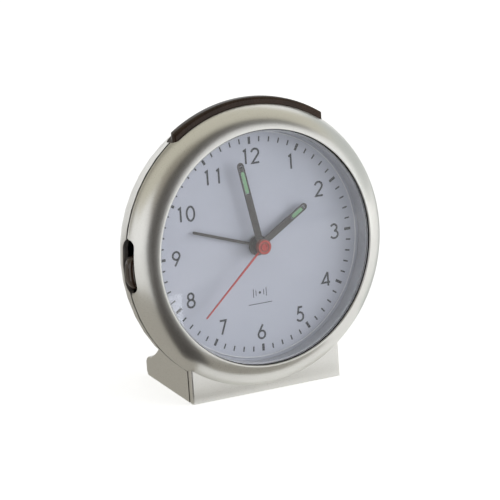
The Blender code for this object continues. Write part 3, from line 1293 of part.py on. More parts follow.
def make_screw(name, material, place, size, length, turn=(0.0, 0.0, 0.0)):
    # The head's underside is at the place and the shank runs towards the viewer
    shank, head, head_thick = size
    profile = [
        (0.0, length),
        (shank, length),
        (shank, 0.0),
        (head, 0.0),
        (head, -head_thick),
        (0.0, -head_thick),
    ]
    screw = add_part(name, turned(name, profile, SMALL_STEPS), material, place, turn)
    long = head * SCREW_SLOT_LENGTH
    wide = head * SCREW_SLOT_WIDTH
    bottom = -head_thick * (1.0 - SCREW_SLOT_DEPTH)
    slot = box(name + "_slot", (-long, -wide, -2 * head_thick), (long, wide, bottom))
    cut(screw, add_tool(slot, place, turn))


def make_screws(steel):
    large = (SCREW_SHANK, SCREW_HEAD, SCREW_HEAD_THICK)
    small = (SMALL_SHANK, SMALL_HEAD, SMALL_HEAD_THICK)
    seat = -SCREW_SEAT_DEPTH - CLEARANCE
    for number, (x, y) in enumerate(ring_places(SCREW_CIRCLE, SCREW_ANGLES), 1):
        make_screw(f"case_screw_{number}", steel, (x, y, seat), large, SCREW_REACH - seat)
    seat = DIAL_BACK_Z
    length = SCREW_REACH - CLEARANCE - seat
    for number, (x, y) in enumerate(ring_places(EAR_CIRCLE, EAR_ANGLES), 1):
        make_screw(f"dial_screw_{number}", steel, (x, y, seat), small, length)
    seat = BASE_BACK_Z - CLEARANCE / 2
    length = BLIND_Z - CLEARANCE - seat
    for number, (side, y) in enumerate(zip((1, -1), MOVEMENT_EAR_Y), 1):
        place = (side * MOVEMENT_EAR_X, y, seat)
        make_screw(f"movement_screw_{number}", steel, place, small, length)
    length = BOARD_THICK + BOARD_SCREW_BITE
    for number, y in enumerate(BOARD_SCREW_Y, 1):
        place = (BOARD_SCREW_X, y, BOARD_FRONT_Z + CLEARANCE)
        make_screw(f"board_screw_{number}", steel, place, small, length, FACING_BACK)


def build_clock():
    silver = make_material("silver_lacquer", (0.62, 0.62, 0.58), 0.25, metallic=0.6)
    clear = make_material("clear_plastic", (0.95, 0.97, 1.0), 0.02, transmission=1.0)
    dial_grey = make_material("dial_print", (0.45, 0.48, 0.55), 0.6)
    umber = make_material("umber_plastic", (0.035, 0.025, 0.02), 0.3)
    hand_grey = make_material("hand_lacquer", (0.11, 0.11, 0.105), 0.5)
    red = make_material("red_lacquer", (0.55, 0.09, 0.08), 0.4)
    green = make_material("glow_paint", (0.2, 0.33, 0.2), 0.7)
    white = make_material("natural_plastic", (0.75, 0.74, 0.68), 0.5)
    brass = make_material("brass", (0.7, 0.5, 0.2), 0.3, metallic=1.0)
    steel = make_material("plated_steel", (0.6, 0.6, 0.6), 0.3, metallic=1.0)
    copper = make_material("copper_wire", (0.7, 0.3, 0.15), 0.35, metallic=1.0)
    ferrite = make_material("ferrite", (0.03, 0.03, 0.03), 0.6)
    board = make_material("circuit_board", (0.03, 0.2, 0.08), 0.5)
    sleeve = make_material("battery_sleeve", (0.1, 0.16, 0.35), 0.3)

    make_front_case(silver)
    make_rear_case(silver)
    make_battery_door(silver)
    make_lens(clear)
    make_dial(dial_grey)
    make_hands(hand_grey, green, red)

    make_hand_wheels(brass, white)
    make_motion_wheel(white)
    make_motor_train("minute", -1, DRIVE_LEVEL, white, steel)
    make_motor_train("second", 1, SECOND_LEVEL, white, steel)
    make_motor_stator("minute", -1, steel, copper)
    make_motor_stator("second", 1, steel, copper)
    make_alarm_setting(white, umber)
    make_movement_housing(white)

    make_board(board, umber, steel)
    place = (0.0, SNOOZE_SWITCH_FOOT, -SNOOZE_SWITCH_DEPTH - CLEARANCE)
    make_tact_switch("snooze_switch", umber, place, ALONG_Y)
    make_battery(sleeve, steel)
    make_aerial(ferrite, copper)
    make_buzzer(umber)

    make_snooze_bar(umber)
    make_alarm_slider(umber)
    make_alarm_switch(umber, white)
    make_rear_button("receive_button", umber, BUTTON_Y[0])
    make_rear_button("set_button", umber, BUTTON_Y[1])
    make_screws(steel)


for leftover in list(bpy.data.objects):
    bpy.data.objects.remove(leftover, do_unlink=True)

DIAL_FRAME = bpy.data.objects.new("dial_frame", None)
bpy.context.collection.objects.link(DIAL_FRAME)
DIAL_FRAME.location = (0.0, DIAL_Y, DIAL_HEIGHT)
DIAL_FRAME.rotation_euler = (QUARTER - FACE_TILT, 0.0, 0.0)

build_clock()
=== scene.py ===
import math

import bmesh
import bpy
from mathutils import Matrix, Vector


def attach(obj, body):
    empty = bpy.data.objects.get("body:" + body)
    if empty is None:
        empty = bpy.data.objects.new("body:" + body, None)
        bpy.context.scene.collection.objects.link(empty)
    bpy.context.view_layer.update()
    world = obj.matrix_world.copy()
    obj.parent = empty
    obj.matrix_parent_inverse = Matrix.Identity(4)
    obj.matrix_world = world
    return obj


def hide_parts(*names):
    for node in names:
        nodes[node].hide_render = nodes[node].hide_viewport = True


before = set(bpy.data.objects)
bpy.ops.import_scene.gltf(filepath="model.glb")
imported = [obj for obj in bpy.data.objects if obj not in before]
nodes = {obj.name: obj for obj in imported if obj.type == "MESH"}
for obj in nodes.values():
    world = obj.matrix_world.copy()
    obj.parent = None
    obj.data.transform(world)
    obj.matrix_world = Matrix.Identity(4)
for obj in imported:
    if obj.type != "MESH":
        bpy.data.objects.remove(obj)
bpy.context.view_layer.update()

print("frame loaded:", len(nodes), "solids")

mm = 0.001
origin = (0.0, 0.0)
beyond = 60.0        # millimetres, past every surface of the clock
crispAngle = 38.0    # degrees; an edge sharper than this stays crisp

# The dial leans back, and nearly every piece is drawn flat on it: X right, Y up the dial,
# Z out towards the viewer, all in millimetres.
stance = {
    "lean": 8.0,            # degrees
    "dialHeight": 51.1,
    "dialDepth": -8.545,
}
dialPlace = (
    Matrix.Translation((0.0, stance["dialDepth"] * mm, stance["dialHeight"] * mm))
    @ Matrix.Rotation(math.radians(90.0 - stance["lean"]), 4, "X")
    @ Matrix.Scale(mm, 4)
)


# outlines, and the solids made from them
def arc(centre, across, up, start, end, steps):
    points = []
    for step in range(steps + 1):
        angle = math.radians(start + (end - start) * step / steps)
        points.append((centre[0] + across * math.cos(angle), centre[1] + up * math.sin(angle)))
    return points


def bowedArc(start, end, bow, steps):
    # bows out to the right of the way from start to end
    run = end[0] - start[0]
    rise = end[1] - start[1]
    chord = math.hypot(run, rise)
    radius = (chord * chord / 4 + bow * bow) / (2 * bow)
    half = math.degrees(math.asin(chord / 2 / radius))
    right = (rise / chord, -run / chord)
    centre = (
        (start[0] + end[0]) / 2 + right[0] * (bow - radius),
        (start[1] + end[1]) / 2 + right[1] * (bow - radius),
    )
    heading = math.degrees(math.atan2(right[1], right[0]))
    return arc(centre, radius, radius, heading - half, heading + half, steps), centre, radius


def roundedBox(left, right, bottom, top, radius, steps=10):
    corners = [
        (right - radius, top - radius),
        (left + radius, top - radius),
        (left + radius, bottom + radius),
        (right - radius, bottom + radius),
    ]
    points = []
    for number, centre in enumerate(corners):
        points += arc(centre, radius, radius, 90.0 * number, 90.0 * (number + 1), steps)
    return points


def drawn(outline, low, high):
    # an outline drawn straight out from low to high
    bm = bmesh.new()
    face = bm.faces.new([bm.verts.new((x, y, low)) for x, y in outline])
    grown = bmesh.ops.extrude_face_region(bm, geom=[face])
    far = [item for item in grown["geom"] if isinstance(item, bmesh.types.BMVert)]
    bmesh.ops.translate(bm, verts=far, vec=(0.0, 0.0, high - low))
    return bm


def spun(profile, steps):
    # a closed half section of (radius, height) spun round the dial's axis
    bm = bmesh.new()
    points = [bm.verts.new((radius, 0.0, height)) for radius, height in profile]
    edges = []
    for first, second in zip(points, points[1:] + points[:1]):
        if first.co.x > 0.0 or second.co.x > 0.0:
            edges.append(bm.edges.new((first, second)))
    bmesh.ops.spin(
        bm, geom=points + edges, cent=(0, 0, 0), axis=(0, 0, 1),
        angle=2 * math.pi, steps=steps, use_merge=True,
    )
    bmesh.ops.remove_doubles(bm, verts=bm.verts, dist=1e-4)
    return bm


def solid(name, bm, material=None, turn=None, place=dialPlace, smoothBelow=crispAngle):
    # turns a bmesh in dial millimetres into an object in the frame's metres
    bmesh.ops.recalc_face_normals(bm, faces=bm.faces)
    bm.transform(place @ turn if turn else place)
    mesh = bpy.data.meshes.new(name)
    bm.to_mesh(mesh)
    bm.free()
    mesh.shade_smooth()
    mesh.set_sharp_from_angle(angle=math.radians(smoothBelow))
    if material:
        mesh.materials.append(material)
    made = bpy.data.objects.new(name, mesh)
    bpy.context.collection.objects.link(made)
    return made


def carve(piece, tools, operation="DIFFERENCE", smoothBelow=crispAngle):
    # applies the tools one by one and throws them away
    for tool in tools:
        cutter = piece.modifiers.new(tool.name, "BOOLEAN")
        cutter.operation = operation
        cutter.object = tool
        cutter.solver = "EXACT"
        cutter.material_mode = "TRANSFER"
    bpy.context.view_layer.update()
    view = bpy.context.evaluated_depsgraph_get()
    mesh = bpy.data.meshes.new_from_object(piece.evaluated_get(view))
    piece.modifiers.clear()
    piece.data = mesh
    mesh.shade_smooth()
    mesh.set_sharp_from_angle(angle=math.radians(smoothBelow))
    for tool in tools:
        bpy.data.objects.remove(tool, do_unlink=True)
    return piece


def soften(piece, width, segments=2):
    edge = piece.modifiers.new("softEdge", "BEVEL")
    edge.width = width * mm
    edge.segments = segments
    edge.limit_method = "ANGLE"
    edge.angle_limit = math.radians(40.0)
    edge.harden_normals = True
    return piece


alongX = Matrix.Rotation(math.radians(90.0), 4, "Z") @ Matrix.Rotation(math.radians(90.0), 4, "X")
alongY = Matrix.Rotation(math.radians(-90.0), 4, "X")


# materials: a pattern's size is in millimetres, and a colour is sRGB
noiseRange = (0.3, 0.7)      # nearly all of a noise's values lie in here
waveWidth = 0.314            # a wave's bands are this far apart at scale 1
# a mix node's colour sockets share their names with others, so they go by number
firstColour, secondColour, mixedColour = 6, 7, 2


def linear(hexColour):
    # sRGB hex to the linear values that the shader takes
    values = []
    for start in (1, 3, 5):
        value = int(hexColour[start:start + 2], 16) / 255
        values.append(value / 12.92 if value <= 0.04045 else ((value + 0.055) / 1.055) ** 2.4)
    return (*values, 1.0)


def addNode(tree, kind, sockets=None, **settings):
    # one node with its settings; a socket given another socket is linked to it
    made = tree.nodes.new(kind)
    for name, value in settings.items():
        setattr(made, name, value)
    for name, value in (sockets or {}).items():
        if isinstance(value, bpy.types.NodeSocket):
            tree.links.new(value, made.inputs[name])
        else:
            made.inputs[name].default_value = value
    return made


def startMaterial(name, **sockets):
    material = bpy.data.materials.new(name)
    material.use_nodes = True
    tree = material.node_tree
    shader = tree.nodes["Principled BSDF"]
    for key, value in sockets.items():
        shader.inputs[key.replace("_", " ")].default_value = value
    where = addNode(tree, "ShaderNodeTexCoord").outputs["Object"]
    return material, tree, shader, where


def grain(tree, where, size, detail=2.0):
    # noise whose grains are this many millimetres across
    sockets = {"Vector": where, "Scale": 1.0 / (size * mm), "Detail": detail}
    return addNode(tree, "ShaderNodeTexNoise", sockets).outputs["Fac"]


def spread(tree, value, low, high):
    # stretches a noise over the range from low to high
    sockets = {"Value": value, "From Min": noiseRange[0], "From Max": noiseRange[1]}
    sockets.update({"To Min": low, "To Max": high})
    return addNode(tree, "ShaderNodeMapRange", sockets).outputs["Result"]


def between(tree, value, finish):
    mixed = addNode(tree, "ShaderNodeMix", {"Factor": value}, data_type="RGBA")
    mixed.inputs[firstColour].default_value = linear(finish["dark"])
    mixed.inputs[secondColour].default_value = linear(finish["light"])
    return mixed.outputs[mixedColour]


def colourBy(tree, shader, value, finish):
    colour = between(tree, spread(tree, value, 0.0, 1.0), finish)
    tree.links.new(colour, shader.inputs["Base Color"])


def roughBy(tree, shader, value, finish):
    tree.links.new(spread(tree, value, *finish["rough"]), shader.inputs["Roughness"])


def reliefBy(tree, shader, value, finish):
    depth, strength = finish["relief"]       # the depth in millimetres
    sockets = {"Height": value, "Distance": depth * mm, "Strength": strength}
    bump = addNode(tree, "ShaderNodeBump", sockets)
    tree.links.new(bump.outputs["Normal"], shader.inputs["Normal"])


def marked(name, finish, **sockets):
    # one noise mixes the two shades; if asked for, it varies the roughness and the relief too
    material, tree, shader, where = startMaterial(name, **sockets)
    marks = grain(tree, where, finish["size"], finish["detail"])
    colourBy(tree, shader, marks, finish)
    if "rough" in finish:
        roughBy(tree, shader, marks, finish)
    if "relief" in finish:
        reliefBy(tree, shader, marks, finish)
    return material


def sprayedSilver():
    # ABS sprayed with silver metallic lacquer: a soft mirror broken up by very fine flake,
    # so lights smear into wide bands and no reflection has a crisp edge
    finish = {
        "light": "#e9e9e5",
        "dark": "#e4e3df",
        "flake": 0.18,       # real flake is 0.03 mm, drawn as coarse as it needs to show
        "orangePeel": 3.5,
        "rough": (0.272, 0.288),
        "relief": (0.002, 0.08),
    }
    material, tree, shader, where = startMaterial("sprayedSilverLacquer", Metallic=0.9)
    flake = grain(tree, where, finish["flake"], 3.0)
    peel = grain(tree, where, finish["orangePeel"], 1.0)
    colourBy(tree, shader, flake, finish)
    roughBy(tree, shader, flake, finish)
    reliefBy(tree, shader, peel, finish)
    return material


def mouldedUmber(name="mouldedUmberAbs", rough=(0.22, 0.34), sheen=0.27):
    # ABS moulded in dark brown against a fine spark texture: black-brown with a broad sheen
    finish = {
        "light": "#36261b",
        "dark": "#291c13",
        "texture": 0.35,
        "wear": 6.0,
        "rough": rough,
        "relief": (0.006, 0.5),
    }
    material, tree, shader, where = startMaterial(name, IOR=1.53, Specular_IOR_Level=sheen)
    spark = grain(tree, where, finish["texture"], 4.0)
    wear = grain(tree, where, finish["wear"], 2.0)
    colourBy(tree, shader, wear, finish)
    roughBy(tree, shader, spark, finish)
    reliefBy(tree, shader, spark, finish)
    return material


def clearAcrylic():
    # polished PMMA: clear, with faint long ripples from the mould
    finish = {"colour": "#fcfdff", "ripple": 14.0, "relief": (0.004, 0.15)}
    material, tree, shader, where = startMaterial(
        "polishedClearAcrylic",
        IOR=1.49,
        Roughness=0.02,
        Transmission_Weight=1.0,
        Base_Color=linear(finish["colour"]),
    )
    ripple = grain(tree, where, finish["ripple"], 0.0)
    reliefBy(tree, shader, ripple, finish)
    return material


def lacqueredDial():
    # aluminium sheet sprayed matt blue-grey: flat, with a fine tooth that kills any glare
    finish = {
        "light": "#b2b5c0",
        "dark": "#acb0bb",
        "tooth": 0.2,
        "cloud": 18.0,
        "relief": (0.004, 0.5),
    }
    material, tree, shader, where = startMaterial("mattDialLacquer", Roughness=0.62)
    cloud = grain(tree, where, finish["cloud"], 1.0)
    tooth = grain(tree, where, finish["tooth"], 2.0)
    colourBy(tree, shader, cloud, finish)
    reliefBy(tree, shader, tooth, finish)
    return material


def woundCopper():
    # enamelled wire laid side by side: the turns show as fine ribs round the winding
    finish = {"dark": "#7c3a1c", "light": "#c77546", "wire": 0.35, "relief": (0.1, 0.8)}
    material, tree, shader, where = startMaterial(
        "woundEnamelledCopper", Metallic=1.0, Roughness=0.3, Coat_Weight=0.5, Coat_Roughness=0.15
    )
    sockets = {"Vector": where, "Scale": waveWidth / (finish["wire"] * mm), "Distortion": 0.4}
    turns = addNode(tree, "ShaderNodeTexWave", sockets, bands_direction="X").outputs["Fac"]
    tree.links.new(between(tree, turns, finish), shader.inputs["Base Color"])
    reliefBy(tree, shader, turns, finish)
    return material


def solderMask():
    # green solder mask over glass cloth: the weave shows through, tracks run under it
    finish = {
        "dark": "#12502c",
        "light": "#1a6338",
        "trackColour": "#2f8350",
        "tracks": 3.2,
        "cloth": 0.5,
    }
    material, tree, shader, where = startMaterial(
        "greenSolderMask", Roughness=0.3, Coat_Weight=0.3, Coat_Roughness=0.1
    )
    sockets = {"Vector": where, "Scale": 1.0 / (finish["tracks"] * mm), "Mortar Size": 0.05}
    tracks = addNode(tree, "ShaderNodeTexBrick", sockets).outputs["Fac"]
    cloth = grain(tree, where, finish["cloth"], 2.0)
    base = between(tree, spread(tree, cloth, 0.0, 1.0), finish)
    mixed = addNode(tree, "ShaderNodeMix", {"Factor": tracks}, data_type="RGBA")
    tree.links.new(base, mixed.inputs[firstColour])
    mixed.inputs[secondColour].default_value = linear(finish["trackColour"])
    tree.links.new(mixed.outputs[mixedColour], shader.inputs["Base Color"])
    return material


def printedSleeve():
    # shrink film on the cell: deep blue with a plain silver band and bare steel ends
    finish = {
        "steel": "#b9bbbd",
        "film": "#24365e",
        "band": "#c4c6c8",
        "bandPlace": (0.68, 0.72),     # as shares of the cell's length
        "filmPlace": (0.015, 0.978),
        "halfLength": 25.25,
        "scuff": 1.2,
        "rough": (0.22, 0.36),
    }
    material, tree, shader, where = startMaterial(
        "printedCellSleeve", Roughness=0.28, Coat_Weight=0.6, Coat_Roughness=0.08
    )
    along = addNode(tree, "ShaderNodeSeparateXYZ", {"Vector": where}).outputs["X"]
    reach = finish["halfLength"] * mm
    sockets = {"Value": along, "From Min": -reach, "From Max": reach}
    ramp = addNode(tree, "ShaderNodeMapRange", sockets).outputs["Result"]
    bands = addNode(tree, "ShaderNodeValToRGB", {"Fac": ramp})
    bands.color_ramp.interpolation = "CONSTANT"
    stops = bands.color_ramp.elements
    stops[0].color = linear(finish["steel"])
    stops[1].position = finish["filmPlace"][0]
    stops[1].color = linear(finish["film"])
    for place, colour in (
        (finish["bandPlace"][0], finish["band"]),
        (finish["bandPlace"][1], finish["film"]),
        (finish["filmPlace"][1], finish["steel"]),
    ):
        stops.new(place).color = linear(colour)
    tree.links.new(bands.outputs["Color"], shader.inputs["Base Color"])
    roughBy(tree, shader, grain(tree, where, finish["scuff"], 4.0), finish)
    return material


silver = sprayedSilver()
umber = mouldedUmber()
glossUmber = mouldedUmber("polishedUmberAbs", (0.1, 0.16), 0.75)
acrylic = clearAcrylic()
# the moulding's unpolished foot: frosted and whitish, its brightness where it meets the dial partly
# a painted highlight
beadHighlight = marked(
    "frostedEdgePaintedHighlight",
    {"dark": "#c6c8cc", "light": "#d6d8da", "size": 0.5, "detail": 2.0},
    IOR=1.49,
    Roughness=0.35,
)
# the wall of the opening got only a thin dusting of spray: satin grey, a little uneven
greyWall = marked(
    "dustedGreyWall",
    {"dark": "#9c9ea4", "light": "#a8aab0", "size": 2.5, "detail": 3.0},
    Roughness=0.5,
)
# the bare brown moulding down in the joint, painted near black as the shade in these gaps: dull,
# reads as a fine dark line
jointShade = marked(
    "bareEdgePaintedShade",
    {"dark": "#15100c", "light": "#221a14", "size": 0.4, "detail": 2.0},
    Roughness=0.95,
    Specular_IOR_Level=0.1,
)
dialLacquer = lacqueredDial()
# pad-printed ink: dull dark grey, a little thinner in places
ink = marked(
    "padPrintedInk",
    {"dark": "#15181f", "light": "#22262f", "size": 0.6, "detail": 2.0},
    Roughness=0.55,
)
# stamped aluminium hands in matt warm-grey lacquer: dark and flat, with a fine tooth
handGrey = marked(
    "mattHandLacquer",
    {"dark": "#383533", "light": "#423f3c", "size": 0.25, "detail": 3.0, "relief": (0.004, 0.6)},
    Roughness=0.48,
)
# afterglow pigment in resin: chalky pale green with visible grains
glow = marked(
    "afterglowCompound",
    {"dark": "#6c9570", "light": "#86ad89", "size": 0.18, "detail": 4.0, "relief": (0.02, 0.6)},
    Roughness=0.8,
)
# soft red sprayed over aluminium, slightly glossy
red = marked(
    "sprayedRedLacquer",
    {"dark": "#a83731", "light": "#b8433b", "size": 0.7, "detail": 2.0},
    Roughness=0.45,
    Specular_IOR_Level=0.3,
)
# the same spray painted darker and brownish as shade at the cap's turned edge and in its groove
redShade = marked(
    "redLacquerPaintedShade",
    {"dark": "#6f3b2f", "light": "#7c4436", "size": 0.7, "detail": 2.0},
    Roughness=0.45,
    Specular_IOR_Level=0.3,
)
# natural POM gears, moulded: milky white and waxy
acetal = marked(
    "mouldedAcetal",
    {"dark": "#dddad0", "light": "#e9e6dd", "size": 1.8, "detail": 2.0, "rough": (0.38, 0.5)},
    IOR=1.48,
    Subsurface_Weight=0.15,
    Subsurface_Scale=0.002,
)
# turned brass: warm yellow metal, its fine tool marks show in the roughness
brass = marked(
    "turnedBrass",
    {
        "dark": "#b08d4a",
        "light": "#cfae68",
        "size": 0.3,
        "detail": 3.0,
        "rough": (0.24, 0.36),
        "relief": (0.004, 0.4),
    },
    Metallic=1.0,
)
# nickel-plated steel: a cool bright metal, faintly clouded
nickel = marked(
    "nickelPlatedSteel",
    {
        "dark": "#b4b2ad",
        "light": "#c9c7c2",
        "size": 0.4,
        "detail": 3.0,
        "rough": (0.2, 0.34),
        "relief": (0.004, 0.4),
    },
    Metallic=1.0,
)
copper = woundCopper()
# sintered ferrite: charcoal, stony, with pits
ferrite = marked(
    "pressedFerrite",
    {"dark": "#26262a", "light": "#3b3b40", "size": 0.4, "detail": 5.0, "relief": (0.02, 0.7)},
    Roughness=0.62,
)
board = solderMask()
sleeve = printedSleeve()
print("materials made:", len(bpy.data.materials))


# case front: the ring with its channel, and the slab of the foot
ring = {
    "radius": 50.0,
    "seam": -1.2,
    "opening": 41.1,
    "height": 8.3,
    "bow": 1.75,
    "lip": 0.45,
    "wall": 1.8,
    "groove": 0.62,
    "grooveDepth": 0.8,
    "channel": 42.6,
    "channelTop": 1.7,
    "steps": 192,
    "curveSteps": 48,
}
flankSlot = {
    "halfLength": 9.3,
    "back": 3.75,
    "front": 2.2,
    "floor": 44.2,
    "rim": 0.5,
    "rimDepth": 0.28,
}
snoozeSlot = {"halfLength": 29.9, "front": 1.4, "back": 5.6, "corner": 2.9, "floor": 42.9}
footFront = {"width": 59.1, "front": 1.36, "corner": 0.8, "groove": 0.5}


def ringCurve():
    # the outer face of the ring, from the seam to its crest
    seam = (ring["radius"], ring["seam"])
    crest = (ring["opening"] + ring["lip"], ring["height"])
    return bowedArc(seam, crest, ring["bow"], ring["curveSteps"])


def flankTool(grow=0.0):
    outline = roundedBox(
        -flankSlot["halfLength"] - grow,
        flankSlot["halfLength"] + grow,
        -flankSlot["back"] - grow,
        flankSlot["front"] + grow,
        (flankSlot["back"] + flankSlot["front"]) / 2 + grow - 0.3,
    )
    return drawn(outline, -beyond, -flankSlot["floor"])


def rimTool():
    # a shallow step round the slot, following the ring's own curve
    tool = solid("rimTool", flankTool(flankSlot["rim"]), silver, alongX)
    _, centre, radius = ringCurve()
    inner = radius - flankSlot["rimDepth"]
    hollow = 40.0
    profile = arc(centre, inner, inner, -30.0, 60.0, ring["curveSteps"])
    profile += [(hollow, centre[1] + inner), (hollow, centre[1] - inner)]
    core = solid("rimCore", spun(profile, ring["steps"]))
    return carve(tool, [core])


def snoozeTool():
    outline = roundedBox(
        -snoozeSlot["halfLength"],
        snoozeSlot["halfLength"],
        -snoozeSlot["front"],
        snoozeSlot["back"],
        snoozeSlot["corner"],
    )
    tool = solid("snoozeTool", drawn(outline, 0.0, beyond), turn=alongY)
    low = snoozeSlot["floor"]
    side = 12.0
    section = [(low, -side), (beyond, -side), (beyond, side), (low, side)]
    band = solid("snoozeBand", spun(section, ring["steps"]))
    return carve(tool, [band], "INTERSECT")


def floorLine(height):
    # how far down the dial's plane, moved out by height, meets the floor
    lean = math.radians(stance["lean"])
    return -(stance["dialHeight"] + height * math.sin(lean)) / math.cos(lean)


def footSlab(name, half, low, high, material):
    seat = ring["radius"] - ring["wall"]
    angle = math.degrees(math.asin(half / seat))
    outline = [(-half, floorLine(0.0)), (half, floorLine(0.0))]
    outline += arc(origin, seat, seat, -90.0 + angle, -90.0 - angle, 24)
    bm = drawn(outline, low, high)
    for vert in bm.verts:
        if abs(vert.co.y - floorLine(0.0)) < 0.01:
            vert.co.y = floorLine(vert.co.z)
    sides = []
    for edge in bm.edges:
        first, second = (vert.co for vert in edge.verts)
        atSide = abs(abs(first.x) - half) < 1e-3 and abs(first.x - second.x) < 1e-3
        if atSide and first.z > 0.0 and second.z > 0.0:
            sides.append(edge)
    if sides:
        bmesh.ops.bevel(
            bm, geom=sides, offset=footFront["corner"], segments=6, affect="EDGES", profile=0.5
        )
    return solid(name, bm, material)


def ringProfile():
    crest = (ring["opening"] + ring["lip"], ring["height"])
    whole, centre, radius = ringCurve()
    step = ring["seam"] + ring["groove"]
    outside = [point for point in whole if point[1] > step + 0.1]
    groove = ring["radius"] - ring["grooveDepth"]
    start = (groove, ring["seam"])
    outside = [(groove, step), (ring["radius"] - 0.1, step)] + outside
    lip = arc((crest[0], ring["height"] - ring["lip"]), ring["lip"], ring["lip"], 90.0, 180.0, 10)
    inner = radius - ring["wall"]
    top = math.degrees(math.acos((ring["channel"] - centre[0]) / inner))
    low = math.degrees(math.asin((ring["seam"] - centre[1]) / inner))
    inside = arc(centre, inner, inner, top, low, 16)
    bore = [(ring["opening"], ring["channelTop"]), (ring["channel"], ring["channelTop"])]
    return [start] + outside + lip[1:] + bore + inside


caseRing = solid("case_ring", spun(ringProfile(), ring["steps"]), silver)
caseRing.data.materials.append(jointShade)
toDial = dialPlace.inverted()
# faces down in the seam's groove and in the bore under the lip get the painted shade
for face in caseRing.data.polygons:
    middle = toDial @ face.center
    away = math.hypot(middle.x, middle.y)
    grooved = middle.z < ring["seam"] + ring["groove"] - 0.01
    grooved = grooved and away > ring["radius"] - ring["grooveDepth"] - 0.1
    bored = away < ring["opening"] + 0.05 and middle.z < ring["height"] - ring["lip"]
    if grooved or bored:
        face.material_index = 1
# the flank slot's cut walls take the painted shade as well
flankCut = solid("flankCut", flankTool(), jointShade, alongX)
carve(caseRing, [snoozeTool(), rimTool(), flankCut])
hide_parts("front_case")
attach(caseRing, "case")

halfFoot = footFront["width"] / 2
grooveTop = ring["seam"] + footFront["groove"]
slab = footSlab("foot_front", halfFoot, grooveTop, footFront["front"], silver)
# the dark band across the foot in the seam's groove is painted shade
footJoint = footSlab("foot_joint", halfFoot - footFront["groove"], ring["seam"], grooveTop, jointShade)
for piece in (slab, footJoint):
    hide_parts("front_case")
    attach(piece, "case")
print("case front built")


# crystal: one moulded cap with a clear face and a sprayed skirt
crystal = {
    "radius": 40.88,
    "front": 7.5,
    "thick": 1.3,
    "edge": 0.12,
    "skirt": (40.2, 40.75, 0.3, 6.15),   # inner, outer, foot, top
    "flange": (42.3, 1.4),
    "bead": (39.0, 0.2),                # where the moulding's foot catches the light
}


def discShape():
    outer = crystal["radius"]
    top = crystal["front"]
    edge = crystal["edge"]
    under = top - crystal["thick"]
    profile = [(0.0, top)]
    profile += arc((outer - edge, top - edge), edge, edge, 90.0, 0.0, 6)
    profile += arc((outer - edge, under + edge), edge, edge, 0.0, -90.0, 6)
    profile += [(0.0, under)]
    return spun(profile, ring["steps"])


def skirtShape():
    inner, outer, foot, top = crystal["skirt"]
    flange, shelf = crystal["flange"]
    profile = [(inner, foot), (inner, top), (outer, top)]
    profile += [(outer, shelf), (flange, shelf), (flange, foot)]
    return spun(profile, ring["steps"])


def beadShape():
    middle, thick = crystal["bead"]
    return spun(arc((middle, thick), thick, thick, 0.0, 330.0, 11), ring["steps"])


disc = solid("crystal", discShape(), acrylic)
disc.visible_shadow = False
skirt = solid("crystal_skirt", skirtShape(), greyWall)
# the bead's whitish ring is partly frosting and partly a painted highlight
bead = solid("crystal_bead", beadShape(), beadHighlight)
for piece in (disc, skirt, bead):
    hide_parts("lens")
    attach(piece, "case")
print("crystal built")


# what is printed on the dial
dialPrint = {
    "ink": 0.03,             # thickness of the printed film
    "hourTick": (34.85, 37.35, 0.95),
    "minuteTick": (35.45, 37.25, 0.52),
    "offset": (-0.1, 0.15),
    "numeralHeight": 5.55,
    "stroke": 0.7,
    "gap": 0.48,             # between two figures, as a share of their height
    "gapBeforeOne": 0.71,
    "sharpest": 0.45,        # keeps the point of a mitred corner short
}
numerals = {
    "12": (0.32, 30.72),
    "1": (15.1, 26.6),
    "2": (25.78, 15.72),
    "3": (30.73, 0.0),
    "4": (26.21, -16.3),
    "5": (15.1, -26.8),
    "6": (-0.35, -30.35),
    "7": (-15.05, -26.5),
    "8": (-26.53, -15.1),
    "9": (-30.85, -0.08),
    "10": (-25.87, 14.55),
    "11": (-15.15, 25.62),
}
# each figure as pen strokes on a height of 1, with its width
figures = {
    "0": (0.59, [arc((0.295, 0.5), 0.295, 0.5, 90.0, 450.0, 48)]),
    "1": (0.18, [[(0.0, 0.9), (0.18, 1.0), (0.18, 0.0)]]),
    "2": (0.59, [arc((0.28, 0.73), 0.28, 0.27, 170.0, -38.0, 24) + [(0.02, 0.0), (0.59, 0.0)]]),
    "3": (0.57, [
        arc((0.27, 0.765), 0.24, 0.235, 155.0, -90.0, 24),
        arc((0.27, 0.265), 0.3, 0.265, 90.0, -155.0, 24),
    ]),
    "4": (0.64, [[(0.49, 0.0), (0.49, 1.0)], [(0.49, 1.0), (0.0, 0.26), (0.64, 0.26)]]),
    "5": (0.5, [[(0.46, 1.0), (0.16, 1.0)] + arc((0.22, 0.31), 0.28, 0.31, 120.0, -150.0, 28)]),
    "6": (0.55, [[(0.4, 1.0), (0.035, 0.405)], arc((0.275, 0.275), 0.275, 0.275, 90.0, 450.0, 36)]),
    "7": (0.48, [[(0.0, 1.0), (0.48, 1.0), (0.12, 0.0)]]),
    "8": (0.56, [
        arc((0.28, 0.765), 0.22, 0.235, 90.0, 450.0, 32),
        arc((0.28, 0.265), 0.28, 0.265, 90.0, 450.0, 36),
    ]),
    "9": (0.54, [[(0.14, 0.0), (0.505, 0.595)], arc((0.27, 0.725), 0.27, 0.275, 90.0, 450.0, 36)]),
}


